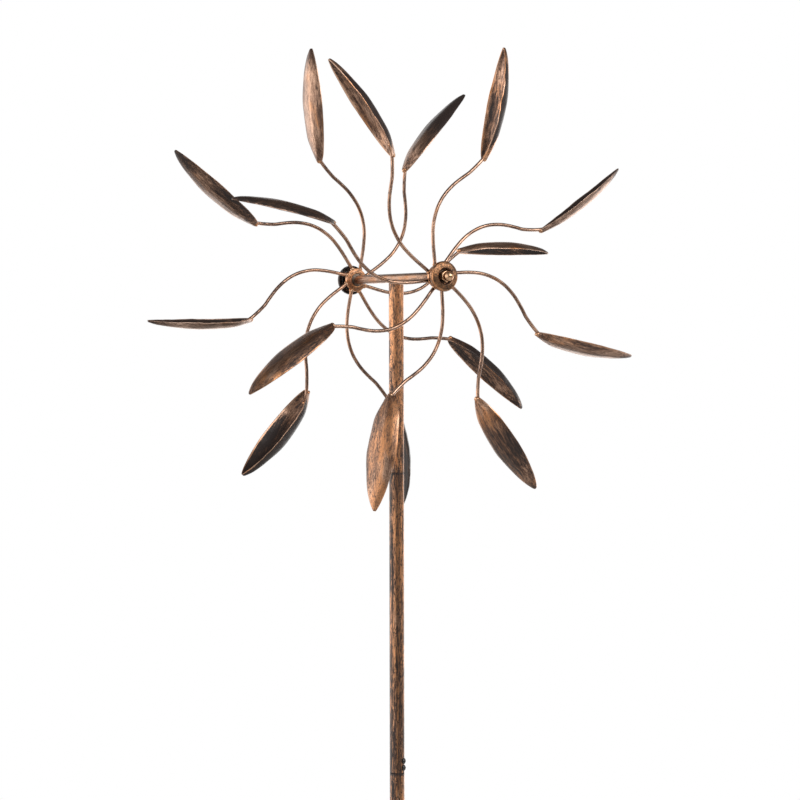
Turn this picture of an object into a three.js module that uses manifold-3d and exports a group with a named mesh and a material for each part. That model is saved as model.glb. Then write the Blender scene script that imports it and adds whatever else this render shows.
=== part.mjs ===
// Two-rotor garden wind spinner on a sectioned round pole.
// Millimetres, +Z up. Origin: pole axis at ground level (underside of the step bar).
// The rotor axis runs along Y at AXIS_H; the front rotor is at -Y and the rear one at +Y.
import * as THREE from 'three';
import { mergeVertices } from 'three/addons/utils/BufferGeometryUtils.js';
import Module from 'manifold-3d';

const wasm = await Module();
wasm.setup();

// ---------------------------------------------------------------- driving dimensions
const GAP = 0.3;                 // clearance left between neighbouring solids

// pole: four sections of 19.05 mm tube, each with a reduced spigot that slides into the section above
const POLE_R = 9.525;
const POLE_RI = 8.3;
const SPIGOT_R = 7.9;
const SPIGOT_RI = 6.7;
const SPIGOT_LEN = 40;
const STEP_T = 5;                // step bar thickness
const SECTION = 387.6;             // visible length of a full section
const TOP_SECTION = 250;         // from the upper seam to the rotor axis
const SEAM_3 = STEP_T + GAP + SECTION;
const SEAM_2 = SEAM_3 + SECTION;
const SEAM_1 = SEAM_2 + SECTION;
const AXIS_H = SEAM_1 + TOP_SECTION;

// seam screws
const SCREW_R = 2.0, SCREW_HOLE_R = 2.35, SCREW_HEAD_R = 3.75, SCREW_HEAD_H = 2.2, SCREW_LEN = 6.5;
const SCREW_OFFSETS = [6.9, 15.6];   // above a seam
const SCREW_TURN = -57 * Math.PI / 180;   // the screws' direction about the pole, from +X

// cross tube and axle
const TUBE_R = 5.9, TUBE_RI = 4.8, TUBE_HALF = 100.6;
const AXLE_R = 4.0, AXLE_HALF = 134;

// hub, measured outwards along the axle from the pole axis
const ROTOR_PLANE = 108.8;
const BARREL = { in: 102.6, out: 119.4, r: 10.5, flangeIn: 104.4, flangeOut: 108.6, flangeR: 15,
  boreR: 8.3, webR: 6.2, web0: 108.2, web1: 113.8 };
const BEARING = { r: 8.0, ri: 4.3, w: 5.0 };
const COVER = { rim: 117.5, face: 124.4, r: 19.2, t: 1.2, holeR: 8.7 };
const NUT = { base: 121.3, af: 13, hexH: 6, domeR: 6.2, tip: 138.6, boreR: 4.3, boreDepth: 13.4 };

// arm rod: centreline in the rotor plane (u outwards, v along the turning direction, w along the axle)
const ROD_R = 2.3;
const ARM_LINE = [
  [15.6, 1.2, -2.3], [22.3, -0.1, -2.4], [36.1, -2.4, -2.6], [46.4, -4.5, -2.8], [59.8, -8.3, -3.1],
  [69.4, -12.4, -3.3], [81.3, -19.7, -3.3], [89.3, -26.5, -3.2], [96.2, -34.3, -3.0], [103.7, -46.1, -2.7],
  [108.1, -55.6, -2.5], [112.8, -68.8, -2.2], [116.1, -78.7, -2.1],
];

// leaf scoop: pressed sheet, U-shaped section y = -d (1 - |t|^m), widest just inside the middle
const LEAF_BASE = [129.62, -101.35, -2.0];
const LEAF_TIP = [261.26, -163.47, -1.11];
const LEAF_M = 3.3;
const LEAF_T = 1.0;
const LEAF_KEYS = [0, 0.08, 0.22, 0.5, 0.78, 0.92, 1];
const LEAF_H = [5.4, 14.0, 22.6, 26.3, 18.9, 10.0, 2.2];
const LEAF_D = [6.2, 8.4, 11.2, 13.0, 9.3, 6.2, 2.6];
const LEAF_BOW_KEYS = [0, 0.25, 0.5, 0.75, 1];
const LEAF_BOW = [0, -2.1, -2.0, -1.6, 0];
const LEAF_S = [-0.012, 0.08, 0.22, 0.36, 0.5, 0.64, 0.78, 0.92, 1.0];
const LEAF_TT = [-1, -0.88, -0.6, 0, 0.6, 0.88, 1];

// every arm is welded by hand, so each has its own angle and its leaf its own small lean:
// [angle, lean in the rotor plane, lean out of it, roll about the leaf's length, depth factor]
const FRONT_ARMS = [
  [12.66, 0.83, -0.14, -3.67, 0.933],
  [60.11, -0.88, 1.44, -12.77, 0.782],
  [104.71, -3.30, 2.52, -11.10, 1.028],
  [152.55, 0.32, -0.02, -9.34, 0.952],
  [195.43, -0.74, -3.56, -8.52, 0.894],
  [241.04, -1.99, -3.81, -4.89, 1.022],
  [283.73, -1.01, -4.19, -10.37, 1.041],
  [328.87, 3.64, 1.81, -7.31, 1.016],
];
const REAR_ARMS = [
  [24.11, 2.75, -4.85, -10.19, 1.026],
  [70.31, -1.23, 3.08, -7.45, 1.009],
  [115.46, -1.34, -0.02, -2.22, 0.975],
  [160.20, 4.43, 0.50, -5.50, 0.80],
  [204.20, 2.36, 5.69, -3.01, 1.38],
  [248.54, -8.20, -4.50, -12.00, 1.0],
  [292.89, -2.23, 1.38, -0.68, 1.108],
  [335.53, 0.74, -2.44, -8.14, 0.943],
];
// sheet thickness trim of each leaf across the rotor, which balances it on its axle
const FRONT_TRIM = [0.0212, 0.0325];
const REAR_TRIM = [-0.0173, 0.0366];

// ground fork
const BAR = { w: 150, d: 26 };
const SPIKE_R = 5, SPIKE_LEN = 185, SPIKE_X = 58;

// ---------------------------------------------------------------- materials
const mat = (name, color, roughness, metalness) => {
  const m = new THREE.MeshStandardMaterial({ color, roughness, metalness });
  m.name = name;
  return m;
};
const COPPER = mat('antique_copper', 0x8a6247, 0.42, 0.85);
const COPPER_DARK = mat('antique_copper_dark', 0x5a4234, 0.45, 0.85);
const BLACK = mat('black_screw', 0x17171a, 0.25, 0.6);
const STEEL = mat('bare_steel', 0xa5a6a8, 0.35, 1.0);

// ---------------------------------------------------------------- helpers
const rad = THREE.MathUtils.degToRad;

function signedVolume(pos, idx) {
  let v = 0;
  const a = new THREE.Vector3(), b = new THREE.Vector3(), c = new THREE.Vector3();
  for (let i = 0; i < idx.length; i += 3) {
    a.fromBufferAttribute(pos, idx[i]);
    b.fromBufferAttribute(pos, idx[i + 1]);
    c.fromBufferAttribute(pos, idx[i + 2]);
    v += a.dot(b.cross(c)) / 6;
  }
  return v;
}

// merge shared points, drop collapsed triangles and turn the faces outwards
function clean(geometry) {
  let g = geometry.clone();
  g.deleteAttribute('normal');
  g.deleteAttribute('uv');
  if (!g.index) {
    const n = g.attributes.position.count;
    g.setIndex([...Array(n).keys()]);
  }
  g = mergeVertices(g, 1e-4);
  const src = g.index.array;
  const idx = [];
  for (let i = 0; i < src.length; i += 3) {
    const [a, b, c] = [src[i], src[i + 1], src[i + 2]];
    if (a !== b && b !== c && c !== a) idx.push(a, b, c);
  }
  if (signedVolume(g.attributes.position, idx) < 0) {
    for (let i = 0; i < idx.length; i += 3) [idx[i + 1], idx[i + 2]] = [idx[i + 2], idx[i + 1]];
  }
  const out = new THREE.BufferGeometry();
  out.setAttribute('position', g.attributes.position.clone());
  out.setIndex(idx);
  return out;
}

function toManifold(geometry) {
  const g = clean(geometry);
  return new wasm.Manifold(new wasm.Mesh({
    numProp: 3,
    vertProperties: new Float32Array(g.attributes.position.array),
    triVerts: new Uint32Array(g.index.array),
  }));
}

function fromManifold(m) {
  const mesh = m.getMesh();
  const pos = new Float32Array(mesh.numVert * 3);
  for (let i = 0; i < mesh.numVert; i++) {
    for (let k = 0; k < 3; k++) pos[3 * i + k] = mesh.vertProperties[i * mesh.numProp + k];
  }
  const g = new THREE.BufferGeometry();
  g.setAttribute('position', new THREE.BufferAttribute(pos, 3));
  g.setIndex([...mesh.triVerts]);
  return g;
}

// turned piece about Y: closed outline of [radius, y]
function turned(outline, segments) {
  const pts = outline.map(([r, y]) => new THREE.Vector2(r, y));
  const onAxis = outline[0][0] === 0 && outline[outline.length - 1][0] === 0;
  if (!onAxis) pts.push(pts[0].clone());
  return clean(new THREE.LatheGeometry(pts, segments));
}
const turnedZ = (outline, segments) => turned(outline, segments).rotateX(Math.PI / 2);   // outline [radius, z]

function node(name, geometry, material) {
  const g = geometry;
  g.computeVertexNormals();
  const m = new THREE.Mesh(g, material);
  m.name = name;
  return m;
}

// monotone piecewise-cubic interpolation through the keys
function pchip(xs, ys, x) {
  const n = xs.length;
  const h = [], dl = [], m = new Array(n).fill(0);
  for (let i = 0; i < n - 1; i++) { h.push(xs[i + 1] - xs[i]); dl.push((ys[i + 1] - ys[i]) / h[i]); }
  for (let i = 1; i < n - 1; i++) {
    if (dl[i - 1] * dl[i] > 0) {
      const w1 = 2 * h[i] + h[i - 1], w2 = h[i] + 2 * h[i - 1];
      m[i] = (w1 + w2) / (w1 / dl[i - 1] + w2 / dl[i]);
    }
  }
  m[0] = dl[0];
  m[n - 1] = dl[n - 2];
  let i = 0;
  while (i < n - 2 && x > xs[i + 1]) i++;
  const t = (x - xs[i]) / h[i];
  if (t < 0) return ys[0] + m[0] * (x - xs[0]);
  const t2 = t * t, t3 = t2 * t;
  return (2 * t3 - 3 * t2 + 1) * ys[i] + (t3 - 2 * t2 + t) * h[i] * m[i]
    + (-2 * t3 + 3 * t2) * ys[i + 1] + (t3 - t2) * h[i] * m[i + 1];
}

// ---------------------------------------------------------------- arms and leaves
// (u, v, w) of the rotor plane is X, Z, -Y of the front rotor's own frame
const uvw = ([u, v, w]) => new THREE.Vector3(u, -w, v);

function leafFrame([, lean, tilt, roll]) {
  const base = new THREE.Vector3(...LEAF_BASE), tip = new THREE.Vector3(...LEAF_TIP);
  const along = tip.clone().sub(base);
  const length = along.length();
  along.normalize();
  const axle = new THREE.Vector3(0, 0, 1);
  let inward = axle.clone().cross(along).normalize();     // towards the open side
  let across = along.clone().cross(inward);
  const hinge = inward.clone();
  for (const v of [along, inward, across]) v.applyAxisAngle(hinge, rad(tilt)).applyAxisAngle(axle, rad(lean));
  inward.applyAxisAngle(along, -rad(-roll));
  across.applyAxisAngle(along, -rad(-roll));
  return { base, along, inward, across, length };
}

const half = (s) => pchip(LEAF_KEYS, LEAF_H, s);
const depth = (s) => pchip(LEAF_KEYS, LEAF_D, s);
const bow = (s) => pchip(LEAF_BOW_KEYS, LEAF_BOW, s);

// leaf in its own frame: x along it, y towards the open side, z across it
function leafGeometry(length, k, thickness) {
  const rows = LEAF_S.length, cols = LEAF_TT.length;
  const pos = [];
  for (const inner of [0, 1]) {
    for (const s of LEAF_S) {
      for (const t of LEAF_TT) {
        const h = half(s) - inner * thickness;
        const d = depth(s) * k - inner * thickness;
        pos.push(s * length, -d * (1 - Math.abs(t) ** LEAF_M) + bow(s), h * t);
      }
    }
  }
  const at = (inner, i, j) => inner * rows * cols + i * cols + j;
  const idx = [];
  const quad = (a, b, c, d) => idx.push(a, b, c, a, c, d);
  for (let i = 0; i < rows - 1; i++) {
    for (let j = 0; j < cols - 1; j++) {
      quad(at(0, i, j), at(0, i + 1, j), at(0, i + 1, j + 1), at(0, i, j + 1));
      quad(at(1, i, j), at(1, i, j + 1), at(1, i + 1, j + 1), at(1, i + 1, j));
    }
    quad(at(0, i, 0), at(1, i, 0), at(1, i + 1, 0), at(0, i + 1, 0));
    quad(at(0, i, cols - 1), at(0, i + 1, cols - 1), at(1, i + 1, cols - 1), at(1, i, cols - 1));
  }
  for (let j = 0; j < cols - 1; j++) {
    quad(at(0, 0, j), at(0, 0, j + 1), at(1, 0, j + 1), at(1, 0, j));
    quad(at(0, rows - 1, j), at(1, rows - 1, j), at(1, rows - 1, j + 1), at(0, rows - 1, j + 1));
  }
  const g = new THREE.BufferGeometry();
  g.setAttribute('position', new THREE.Float32BufferAttribute(pos, 3));
  g.setIndex(idx);
  return clean(g);
}

function armAndLeaf(prefix, number, spec, trim) {
  const [angle, , , , k] = spec;
  const f = leafFrame(spec);
  const spoke = new THREE.Group();
  spoke.position.set(0, -ROTOR_PLANE, 0);
  spoke.rotation.y = -rad(angle);

  const toWorld = (v) => uvw([v.x, v.y, v.z]);
  const thickness = LEAF_T * (1 + trim[0] * Math.cos(rad(angle)) + trim[1] * Math.sin(rad(angle)));
  const leaf = node(`${prefix}_leaf_${number}`, leafGeometry(f.length, k, thickness), COPPER);
  leaf.position.copy(toWorld(f.base));
  leaf.quaternion.setFromRotationMatrix(new THREE.Matrix4().makeBasis(
    toWorld(f.along), toWorld(f.inward), toWorld(f.across)));
  spoke.add(leaf);

  // the rod ends lying in the leaf's gutter, on its bottom
  const inGutter = (s) => {
    const y = bow(s) - depth(s) * k + thickness + ROD_R + 0.6;
    return f.base.clone().addScaledVector(f.along, s * f.length).addScaledVector(f.inward, y);
  };
  const end = inGutter(0.075);
  const mid = inGutter(0.02);
  const pts = ARM_LINE.map((p) => new THREE.Vector3(...p));
  pts.push(mid, end);
  const path = new THREE.CatmullRomCurve3(pts.map(toWorld), false, 'centripetal');
  const ring = new THREE.Shape();
  const sides = 6, circ = ROD_R * 1.05;
  for (let i = 0; i < sides; i++) {
    const a = (2 * Math.PI * i) / sides;
    if (i === 0) ring.moveTo(circ, 0); else ring.lineTo(circ * Math.cos(a), circ * Math.sin(a));
  }
  const rod = new THREE.ExtrudeGeometry(ring, { steps: 15, bevelEnabled: false, extrudePath: path });
  spoke.add(node(`${prefix}_arm_${number}`, clean(rod), COPPER));
  return spoke;
}

// ---------------------------------------------------------------- hub pieces, front orientation (y = -distance)
function barrelGeometry() {
  const b = BARREL;
  return turned([
    [b.r, -b.in], [b.r, -b.flangeIn], [b.flangeR, -b.flangeIn], [b.flangeR, -b.flangeOut], [b.r, -b.flangeOut],
    [b.r, -b.out], [b.boreR, -b.out], [b.boreR, -b.web1], [b.webR, -b.web1], [b.webR, -b.web0],
    [b.boreR, -b.web0], [b.boreR, -b.in],
  ], 20);
}

function bearingGeometry(y0) {
  const { r, ri, w } = BEARING;
  return turned([
    [r, -y0], [r, -(y0 + w)], [6.9, -(y0 + w)], [6.6, -(y0 + w - 0.4)], [5.5, -(y0 + w - 0.4)], [5.2, -(y0 + w)],
    [ri, -(y0 + w)], [ri, -y0],
  ], 16);
}

const washerGeometry = (y0, r) => turned([[r, -y0], [r, -(y0 + 1.3)], [4.35, -(y0 + 1.3)], [4.35, -y0]], 16);

function coverGeometry() {
  const c = COVER, f = c.face;
  return turned([
    [c.r, -c.rim], [c.r, -(f - 3.4)], [c.r - 1.1, -(f - 1.2)], [c.r - 3.2, -f], [11.2, -(f + 0.5)],
    [9.7, -(f - 0.6)], [c.holeR, -(f - 4.4)],
    [c.holeR + 1.2, -(f - 4.4)], [10.7, -(f - 1.5)], [11.8, -(f - 0.8)], [c.r - 3.8, -(f - 1.3)],
    [c.r - 2.0, -(f - 2.2)], [c.r - c.t, -(f - 3.8)], [c.r - c.t, -c.rim],
  ], 24);
}

function capNutGeometry() {
  const n = NUT;
  const hexR = n.af / 2 / Math.cos(Math.PI / 6);
  const hex = new THREE.CylinderGeometry(hexR, hexR, n.hexH, 6).translate(0, -(n.base + n.hexH / 2), 0);
  const dome = [[0, -(n.base + n.hexH - 1)], [n.domeR, -(n.base + n.hexH - 1)], [n.domeR, -(n.tip - n.domeR)]];
  for (const a of [30, 60]) dome.push([n.domeR * Math.cos(rad(a)), -(n.tip - n.domeR + n.domeR * Math.sin(rad(a)))]);
  dome.push([0, -n.tip]);
  const bore = turned([[0, -(n.base - 1)], [n.boreR, -(n.base - 1)], [n.boreR, -(n.base + n.boreDepth)],
    [0, -(n.base + n.boreDepth)]], 12);
  return fromManifold(toManifold(hex).add(toManifold(turned(dome, 16))).subtract(toManifold(bore)));
}

function rotorSet(prefix, arms, trim) {
  const set = new THREE.Group();
  set.position.z = AXIS_H;
  arms.forEach((spec, i) => set.add(armAndLeaf(prefix, i + 1, spec, trim)));
  set.add(node(`${prefix}_hub_barrel`, barrelGeometry(), COPPER));
  set.add(node(`${prefix}_hub_cover`, coverGeometry(), COPPER));
  set.add(node(`${prefix}_inner_bearing`, bearingGeometry(BARREL.in + 0.25), STEEL));
  set.add(node(`${prefix}_outer_bearing`, bearingGeometry(BARREL.web1 + GAP), STEEL));
  set.add(node(`${prefix}_inner_washer`, washerGeometry(TUBE_HALF + GAP, 7), STEEL));
  set.add(node(`${prefix}_outer_washer`, washerGeometry(BARREL.web1 + GAP + BEARING.w + GAP + 0.3, 6.6), STEEL));
  set.add(node(`${prefix}_cap_nut`, capNutGeometry(), COPPER));
  return set;
}

// ---------------------------------------------------------------- pole
function poleSection(bottom, seam, screwSeamBelow) {
  // full-diameter tube from `bottom` up to `seam`, then the spigot that enters the section above
  const top = seam - GAP;
  const outline = [
    [POLE_R, bottom], [POLE_R, top - 0.6], [POLE_R - 0.5, top], [SPIGOT_R, top], [SPIGOT_R, seam + SPIGOT_LEN],
    [SPIGOT_RI, seam + SPIGOT_LEN], [SPIGOT_RI, top - 4], [POLE_RI, top - 9], [POLE_RI, bottom],
  ];
  const cuts = SCREW_OFFSETS.map((o) => seam + o);
  if (screwSeamBelow) cuts.push(...SCREW_OFFSETS.map((o) => bottom + o));
  return drilled(turnedZ(outline, 20), cuts);
}

function drilled(geometry, heights) {
  let body = toManifold(geometry);
  for (const z of heights) {
    const drill = new THREE.CylinderGeometry(SCREW_HOLE_R, SCREW_HOLE_R, 14, 10).rotateZ(Math.PI / 2).translate(9, 0, z)
      .rotateZ(SCREW_TURN);
    body = body.subtract(toManifold(drill));
  }
  return fromManifold(body);
}

function topSection() {
  const top = AXIS_H - 4.2;
  let body = toManifold(turnedZ([[POLE_R, SEAM_1], [POLE_R, top], [POLE_RI, top], [POLE_RI, SEAM_1]], 20));
  const saddle = new THREE.CylinderGeometry(TUBE_R + GAP, TUBE_R + GAP, 60, 24).translate(0, 0, AXIS_H);
  return fromManifold(body.subtract(toManifold(saddle)));
}

function screwGeometry(z) {
  const x0 = POLE_R + GAP;
  const outline = [[0, x0 - SCREW_LEN], [SCREW_R, x0 - SCREW_LEN], [SCREW_R, x0], [SCREW_HEAD_R, x0],
    [SCREW_HEAD_R * 0.97, x0 + 0.8], [SCREW_HEAD_R * 0.75, x0 + 1.7], [SCREW_HEAD_R * 0.35, x0 + SCREW_HEAD_H],
    [0, x0 + SCREW_HEAD_H]];
  return turned(outline, 12).rotateZ(-Math.PI / 2).translate(0, 0, z).rotateZ(SCREW_TURN);
}

// ---------------------------------------------------------------- assembly
const spinner = new THREE.Group();

spinner.add(rotorSet('front', FRONT_ARMS, FRONT_TRIM));
const rear = rotorSet('rear', REAR_ARMS.map(([a, ...rest]) => [180 - a, ...rest]), REAR_TRIM);
rear.rotation.z = Math.PI;
spinner.add(rear);

const tube = turned([[TUBE_R, -TUBE_HALF], [TUBE_R, TUBE_HALF], [TUBE_RI, TUBE_HALF], [TUBE_RI, -TUBE_HALF]], 24);
spinner.add(node('cross_tube', tube.translate(0, 0, AXIS_H), COPPER));
const axle = turned([[0, -AXLE_HALF], [AXLE_R - 0.8, -AXLE_HALF], [AXLE_R, -AXLE_HALF + 0.8],
  [AXLE_R, AXLE_HALF - 0.8], [AXLE_R - 0.8, AXLE_HALF], [0, AXLE_HALF]], 16);
spinner.add(node('axle_rod', axle.translate(0, 0, AXIS_H), STEEL));

spinner.add(node('pole_top_section', topSection(), COPPER));
spinner.add(node('pole_upper_section', poleSection(SEAM_2, SEAM_1, true), COPPER));
spinner.add(node('pole_lower_section', poleSection(SEAM_3, SEAM_2, true), COPPER));
spinner.add(node('pole_bottom_section', poleSection(STEP_T + GAP, SEAM_3, false), COPPER));
SCREW_OFFSETS.forEach((o, i) => {
  spinner.add(node(`pole_screw_${i + 1}`, screwGeometry(SEAM_2 + SCREW_OFFSETS[1 - i]), BLACK));
  spinner.add(node(`pole_screw_${i + 3}`, screwGeometry(SEAM_3 + SCREW_OFFSETS[1 - i]), BLACK));
});

// ground fork: a flat step bar with a centre spike that runs up into the pole and a spike at each end
const bar = new THREE.BoxGeometry(BAR.w, BAR.d, STEP_T).translate(0, 0, STEP_T / 2);
const slotHole = (x) => new THREE.CylinderGeometry(SPIKE_R + GAP, SPIKE_R + GAP, 20, 16).rotateX(Math.PI / 2).translate(x, 0, STEP_T / 2);
let barBody = toManifold(bar);
for (const x of [-SPIKE_X, 0, SPIKE_X]) barBody = barBody.subtract(toManifold(slotHole(x)));
spinner.add(node('step_bar', fromManifold(barBody), COPPER_DARK));
const spike = (top) => turnedZ([[0, -SPIKE_LEN], [SPIKE_R * 0.25, -SPIKE_LEN + 2], [SPIKE_R, -SPIKE_LEN + 28],
  [SPIKE_R, top], [0, top]], 12);
spinner.add(node('centre_spike', spike(55), COPPER_DARK));
spinner.add(node('left_spike', spike(STEP_T + 1).translate(-SPIKE_X, 0, 0), COPPER_DARK));
spinner.add(node('right_spike', spike(STEP_T + 1).translate(SPIKE_X, 0, 0), COPPER_DARK));

export default spinner;
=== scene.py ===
import math

import bpy
import numpy as np
from mathutils import Matrix, Vector


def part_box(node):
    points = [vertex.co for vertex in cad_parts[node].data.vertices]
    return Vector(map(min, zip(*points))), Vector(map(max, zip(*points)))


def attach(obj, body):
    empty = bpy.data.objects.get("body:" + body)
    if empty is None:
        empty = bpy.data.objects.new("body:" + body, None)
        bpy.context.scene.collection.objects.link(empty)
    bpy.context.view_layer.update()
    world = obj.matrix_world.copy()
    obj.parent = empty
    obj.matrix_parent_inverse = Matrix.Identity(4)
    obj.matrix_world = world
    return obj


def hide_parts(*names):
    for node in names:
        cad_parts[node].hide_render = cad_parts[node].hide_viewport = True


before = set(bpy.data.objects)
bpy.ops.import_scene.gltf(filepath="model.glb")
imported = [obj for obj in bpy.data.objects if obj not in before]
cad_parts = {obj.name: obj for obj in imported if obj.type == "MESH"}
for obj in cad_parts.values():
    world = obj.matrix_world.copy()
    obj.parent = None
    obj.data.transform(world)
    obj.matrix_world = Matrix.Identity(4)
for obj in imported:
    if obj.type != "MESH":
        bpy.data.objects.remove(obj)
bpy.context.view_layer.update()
RNG = np.random.default_rng(20417)
MM = 0.001

# ------------------------------------------------------------------ camera
# The pole's axis is X = Y = 0; the rotors' axle is at AXIS_H above the ground.
tube_lo, tube_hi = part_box("cross_tube")
AXIS_H = 1000.0 * 0.5 * (tube_lo[2] + tube_hi[2])

right = Vector((0.86637482, -0.49939052, -0.00194488))
up = Vector((0.0107312, 0.01472332, 0.99983402))
back = right.cross(up).normalized()
eye = Vector((-1918.506 + 0.73, -3336.630, -86.891 + AXIS_H)) * MM
cam_data = bpy.data.cameras.new("camera")
cam_data.lens = 134.5
cam_data.sensor_width = 36.0
cam_data.clip_end = 50.0
camera = bpy.data.objects.new("camera", cam_data)
camera.matrix_world = Matrix((
    (right.x, up.x, back.x, eye.x),
    (right.y, up.y, back.y, eye.y),
    (right.z, up.z, back.z, eye.z),
    (0, 0, 0, 1)))
bpy.context.scene.collection.objects.link(camera)
bpy.context.scene.camera = camera
bpy.context.scene.view_settings.view_transform = "Standard"
bpy.context.scene.view_settings.look = "None"

# ------------------------------------------------------------------ dimensions, mm (as in the CAD)
POLE_R, POLE_RI, SPIGOT_R, SPIGOT_RI, SPIGOT_LEN = 9.525, 8.3, 7.9, 6.7, 40.0
GAP = 0.3
STEP_T = 5.0
SEAM_3 = STEP_T + GAP + 387.6
SEAM_2 = SEAM_3 + 387.6
SEAM_1 = SEAM_2 + 387.6
SCREW_OFFSETS = (6.9, 15.6)
SCREW_TURN = math.radians(-57)
TUBE_R, TUBE_RI, TUBE_HALF = 5.9, 4.8, 100.6
AXLE_R, AXLE_HALF = 4.0, 134.0
ROTOR_PLANE = 108.8
ROD_R = 2.3
ARM_LINE = [
    (15.6, 1.2, -2.3), (22.3, -0.1, -2.4), (36.1, -2.4, -2.6), (46.4, -4.5, -2.8), (59.8, -8.3, -3.1),
    (69.4, -12.4, -3.3), (81.3, -19.7, -3.3), (89.3, -26.5, -3.2), (96.2, -34.3, -3.0), (103.7, -46.1, -2.7),
    (108.1, -55.6, -2.5), (112.8, -68.8, -2.2), (116.1, -78.7, -2.1)]
LEAF_BASE, LEAF_TIP = (129.62, -101.35, -2.0), (261.26, -163.47, -1.11)
LEAF_M, LEAF_T = 3.3, 1.0
LEAF_KEYS = (0, 0.08, 0.22, 0.5, 0.78, 0.92, 1)
LEAF_H = (5.4, 14.0, 22.6, 26.3, 18.9, 10.0, 2.2)
LEAF_D = (6.2, 8.4, 11.2, 13.0, 9.3, 6.2, 2.6)
LEAF_BOW_KEYS = (0, 0.25, 0.5, 0.75, 1)
LEAF_BOW = (0, -2.1, -2.0, -1.6, 0)
# angle, lean in the rotor plane, lean out of it, roll, depth factor
FRONT_ARMS = [
    (12.66, 0.83, -0.14, -3.67, 0.933), (60.11, -0.88, 1.44, -12.77, 0.782), (104.71, -3.30, 2.52, -11.10, 1.028),
    (152.55, 0.32, -0.02, -9.34, 0.952), (195.43, -0.74, -3.56, -8.52, 0.894), (241.04, -1.99, -3.81, -4.89, 1.022),
    (283.73, -1.01, -4.19, -10.37, 1.041), (328.87, 3.64, 1.81, -7.31, 1.016)]
REAR_ARMS = [
    (24.11, 2.75, -4.85, -10.19, 1.026), (70.31, -1.23, 3.08, -7.45, 1.009), (115.46, -1.34, -0.02, -2.22, 0.975),
    (160.20, 4.43, 0.50, -5.50, 0.80), (204.20, 2.36, 5.69, -3.01, 1.38), (248.54, -8.20, -4.50, -12.00, 1.0),
    (292.89, -2.23, 1.38, -0.68, 1.108), (335.53, 0.74, -2.44, -8.14, 0.943)]


# ------------------------------------------------------------------ small maths
def pchip(xs, ys, x):
    xs, ys = np.asarray(xs, float), np.asarray(ys, float)
    h = np.diff(xs)
    dl = np.diff(ys) / h
    m = np.zeros(len(xs))
    for i in range(1, len(xs) - 1):
        if dl[i - 1] * dl[i] > 0:
            w1, w2 = 2 * h[i] + h[i - 1], h[i] + 2 * h[i - 1]
            m[i] = (w1 + w2) / (w1 / dl[i - 1] + w2 / dl[i])
    m[0], m[-1] = dl[0], dl[-1]
    x = np.asarray(x, float)
    i = np.clip(np.searchsorted(xs, x, side="left") - 1, 0, len(xs) - 2)
    t = (x - xs[i]) / h[i]
    t2, t3 = t * t, t * t * t
    y = ((2 * t3 - 3 * t2 + 1) * ys[i] + (t3 - 2 * t2 + t) * h[i] * m[i]
         + (-2 * t3 + 3 * t2) * ys[i + 1] + (t3 - t2) * h[i] * m[i + 1])
    return np.where(t < 0, ys[0] + m[0] * (x - xs[0]), y)


def turn(v, axis, deg):
    v, k = np.asarray(v, float), np.asarray(axis, float)
    a = math.radians(deg)
    return v * math.cos(a) + np.cross(k, v) * math.sin(a) + k * np.dot(k, v) * (1 - math.cos(a))


def unit(v):
    v = np.asarray(v, float)
    return v / np.linalg.norm(v)


def catmull(points, per):
    """Centripetal Catmull-Rom through the points, `per` samples a span."""
    p = np.asarray(points, float)
    p = np.vstack([2 * p[0] - p[1], p, 2 * p[-1] - p[-2]])
    out = []
    for i in range(1, len(p) - 2):
        p0, p1, p2, p3 = p[i - 1:i + 3]
        t0 = 0.0
        t1 = t0 + np.linalg.norm(p1 - p0) ** 0.5
        t2 = t1 + np.linalg.norm(p2 - p1) ** 0.5
        t3 = t2 + np.linalg.norm(p3 - p2) ** 0.5
        for j in range(per):
            t = t1 + (t2 - t1) * j / per
            a1 = (t1 - t) / (t1 - t0) * p0 + (t - t0) / (t1 - t0) * p1
            a2 = (t2 - t) / (t2 - t1) * p1 + (t - t1) / (t2 - t1) * p2
            a3 = (t3 - t) / (t3 - t2) * p2 + (t - t2) / (t3 - t2) * p3
            b1 = (t2 - t) / (t2 - t0) * a1 + (t - t0) / (t2 - t0) * a2
            b2 = (t3 - t) / (t3 - t1) * a2 + (t - t1) / (t3 - t1) * a3
            out.append((t2 - t) / (t2 - t1) * b1 + (t - t1) / (t2 - t1) * b2)
    out.append(p[-2])
    return np.array(out)


def wobble(seed, pts, scale, octaves=2):
    """Smooth seeded noise at points (N, 3), about -1..1: a few crossed sine waves."""
    rng = np.random.default_rng(seed)
    pts = np.atleast_2d(pts)
    total = np.zeros(len(pts))
    for o in range(octaves):
        for _ in range(5):
            d = unit(rng.normal(size=3)) * (2 ** o) * rng.uniform(0.7, 1.3) / scale
            total += np.sin(pts @ d * 2 * math.pi + rng.uniform(0, 6.28)) / (5 ** 0.5 * 1.6 ** o)
    return total


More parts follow.
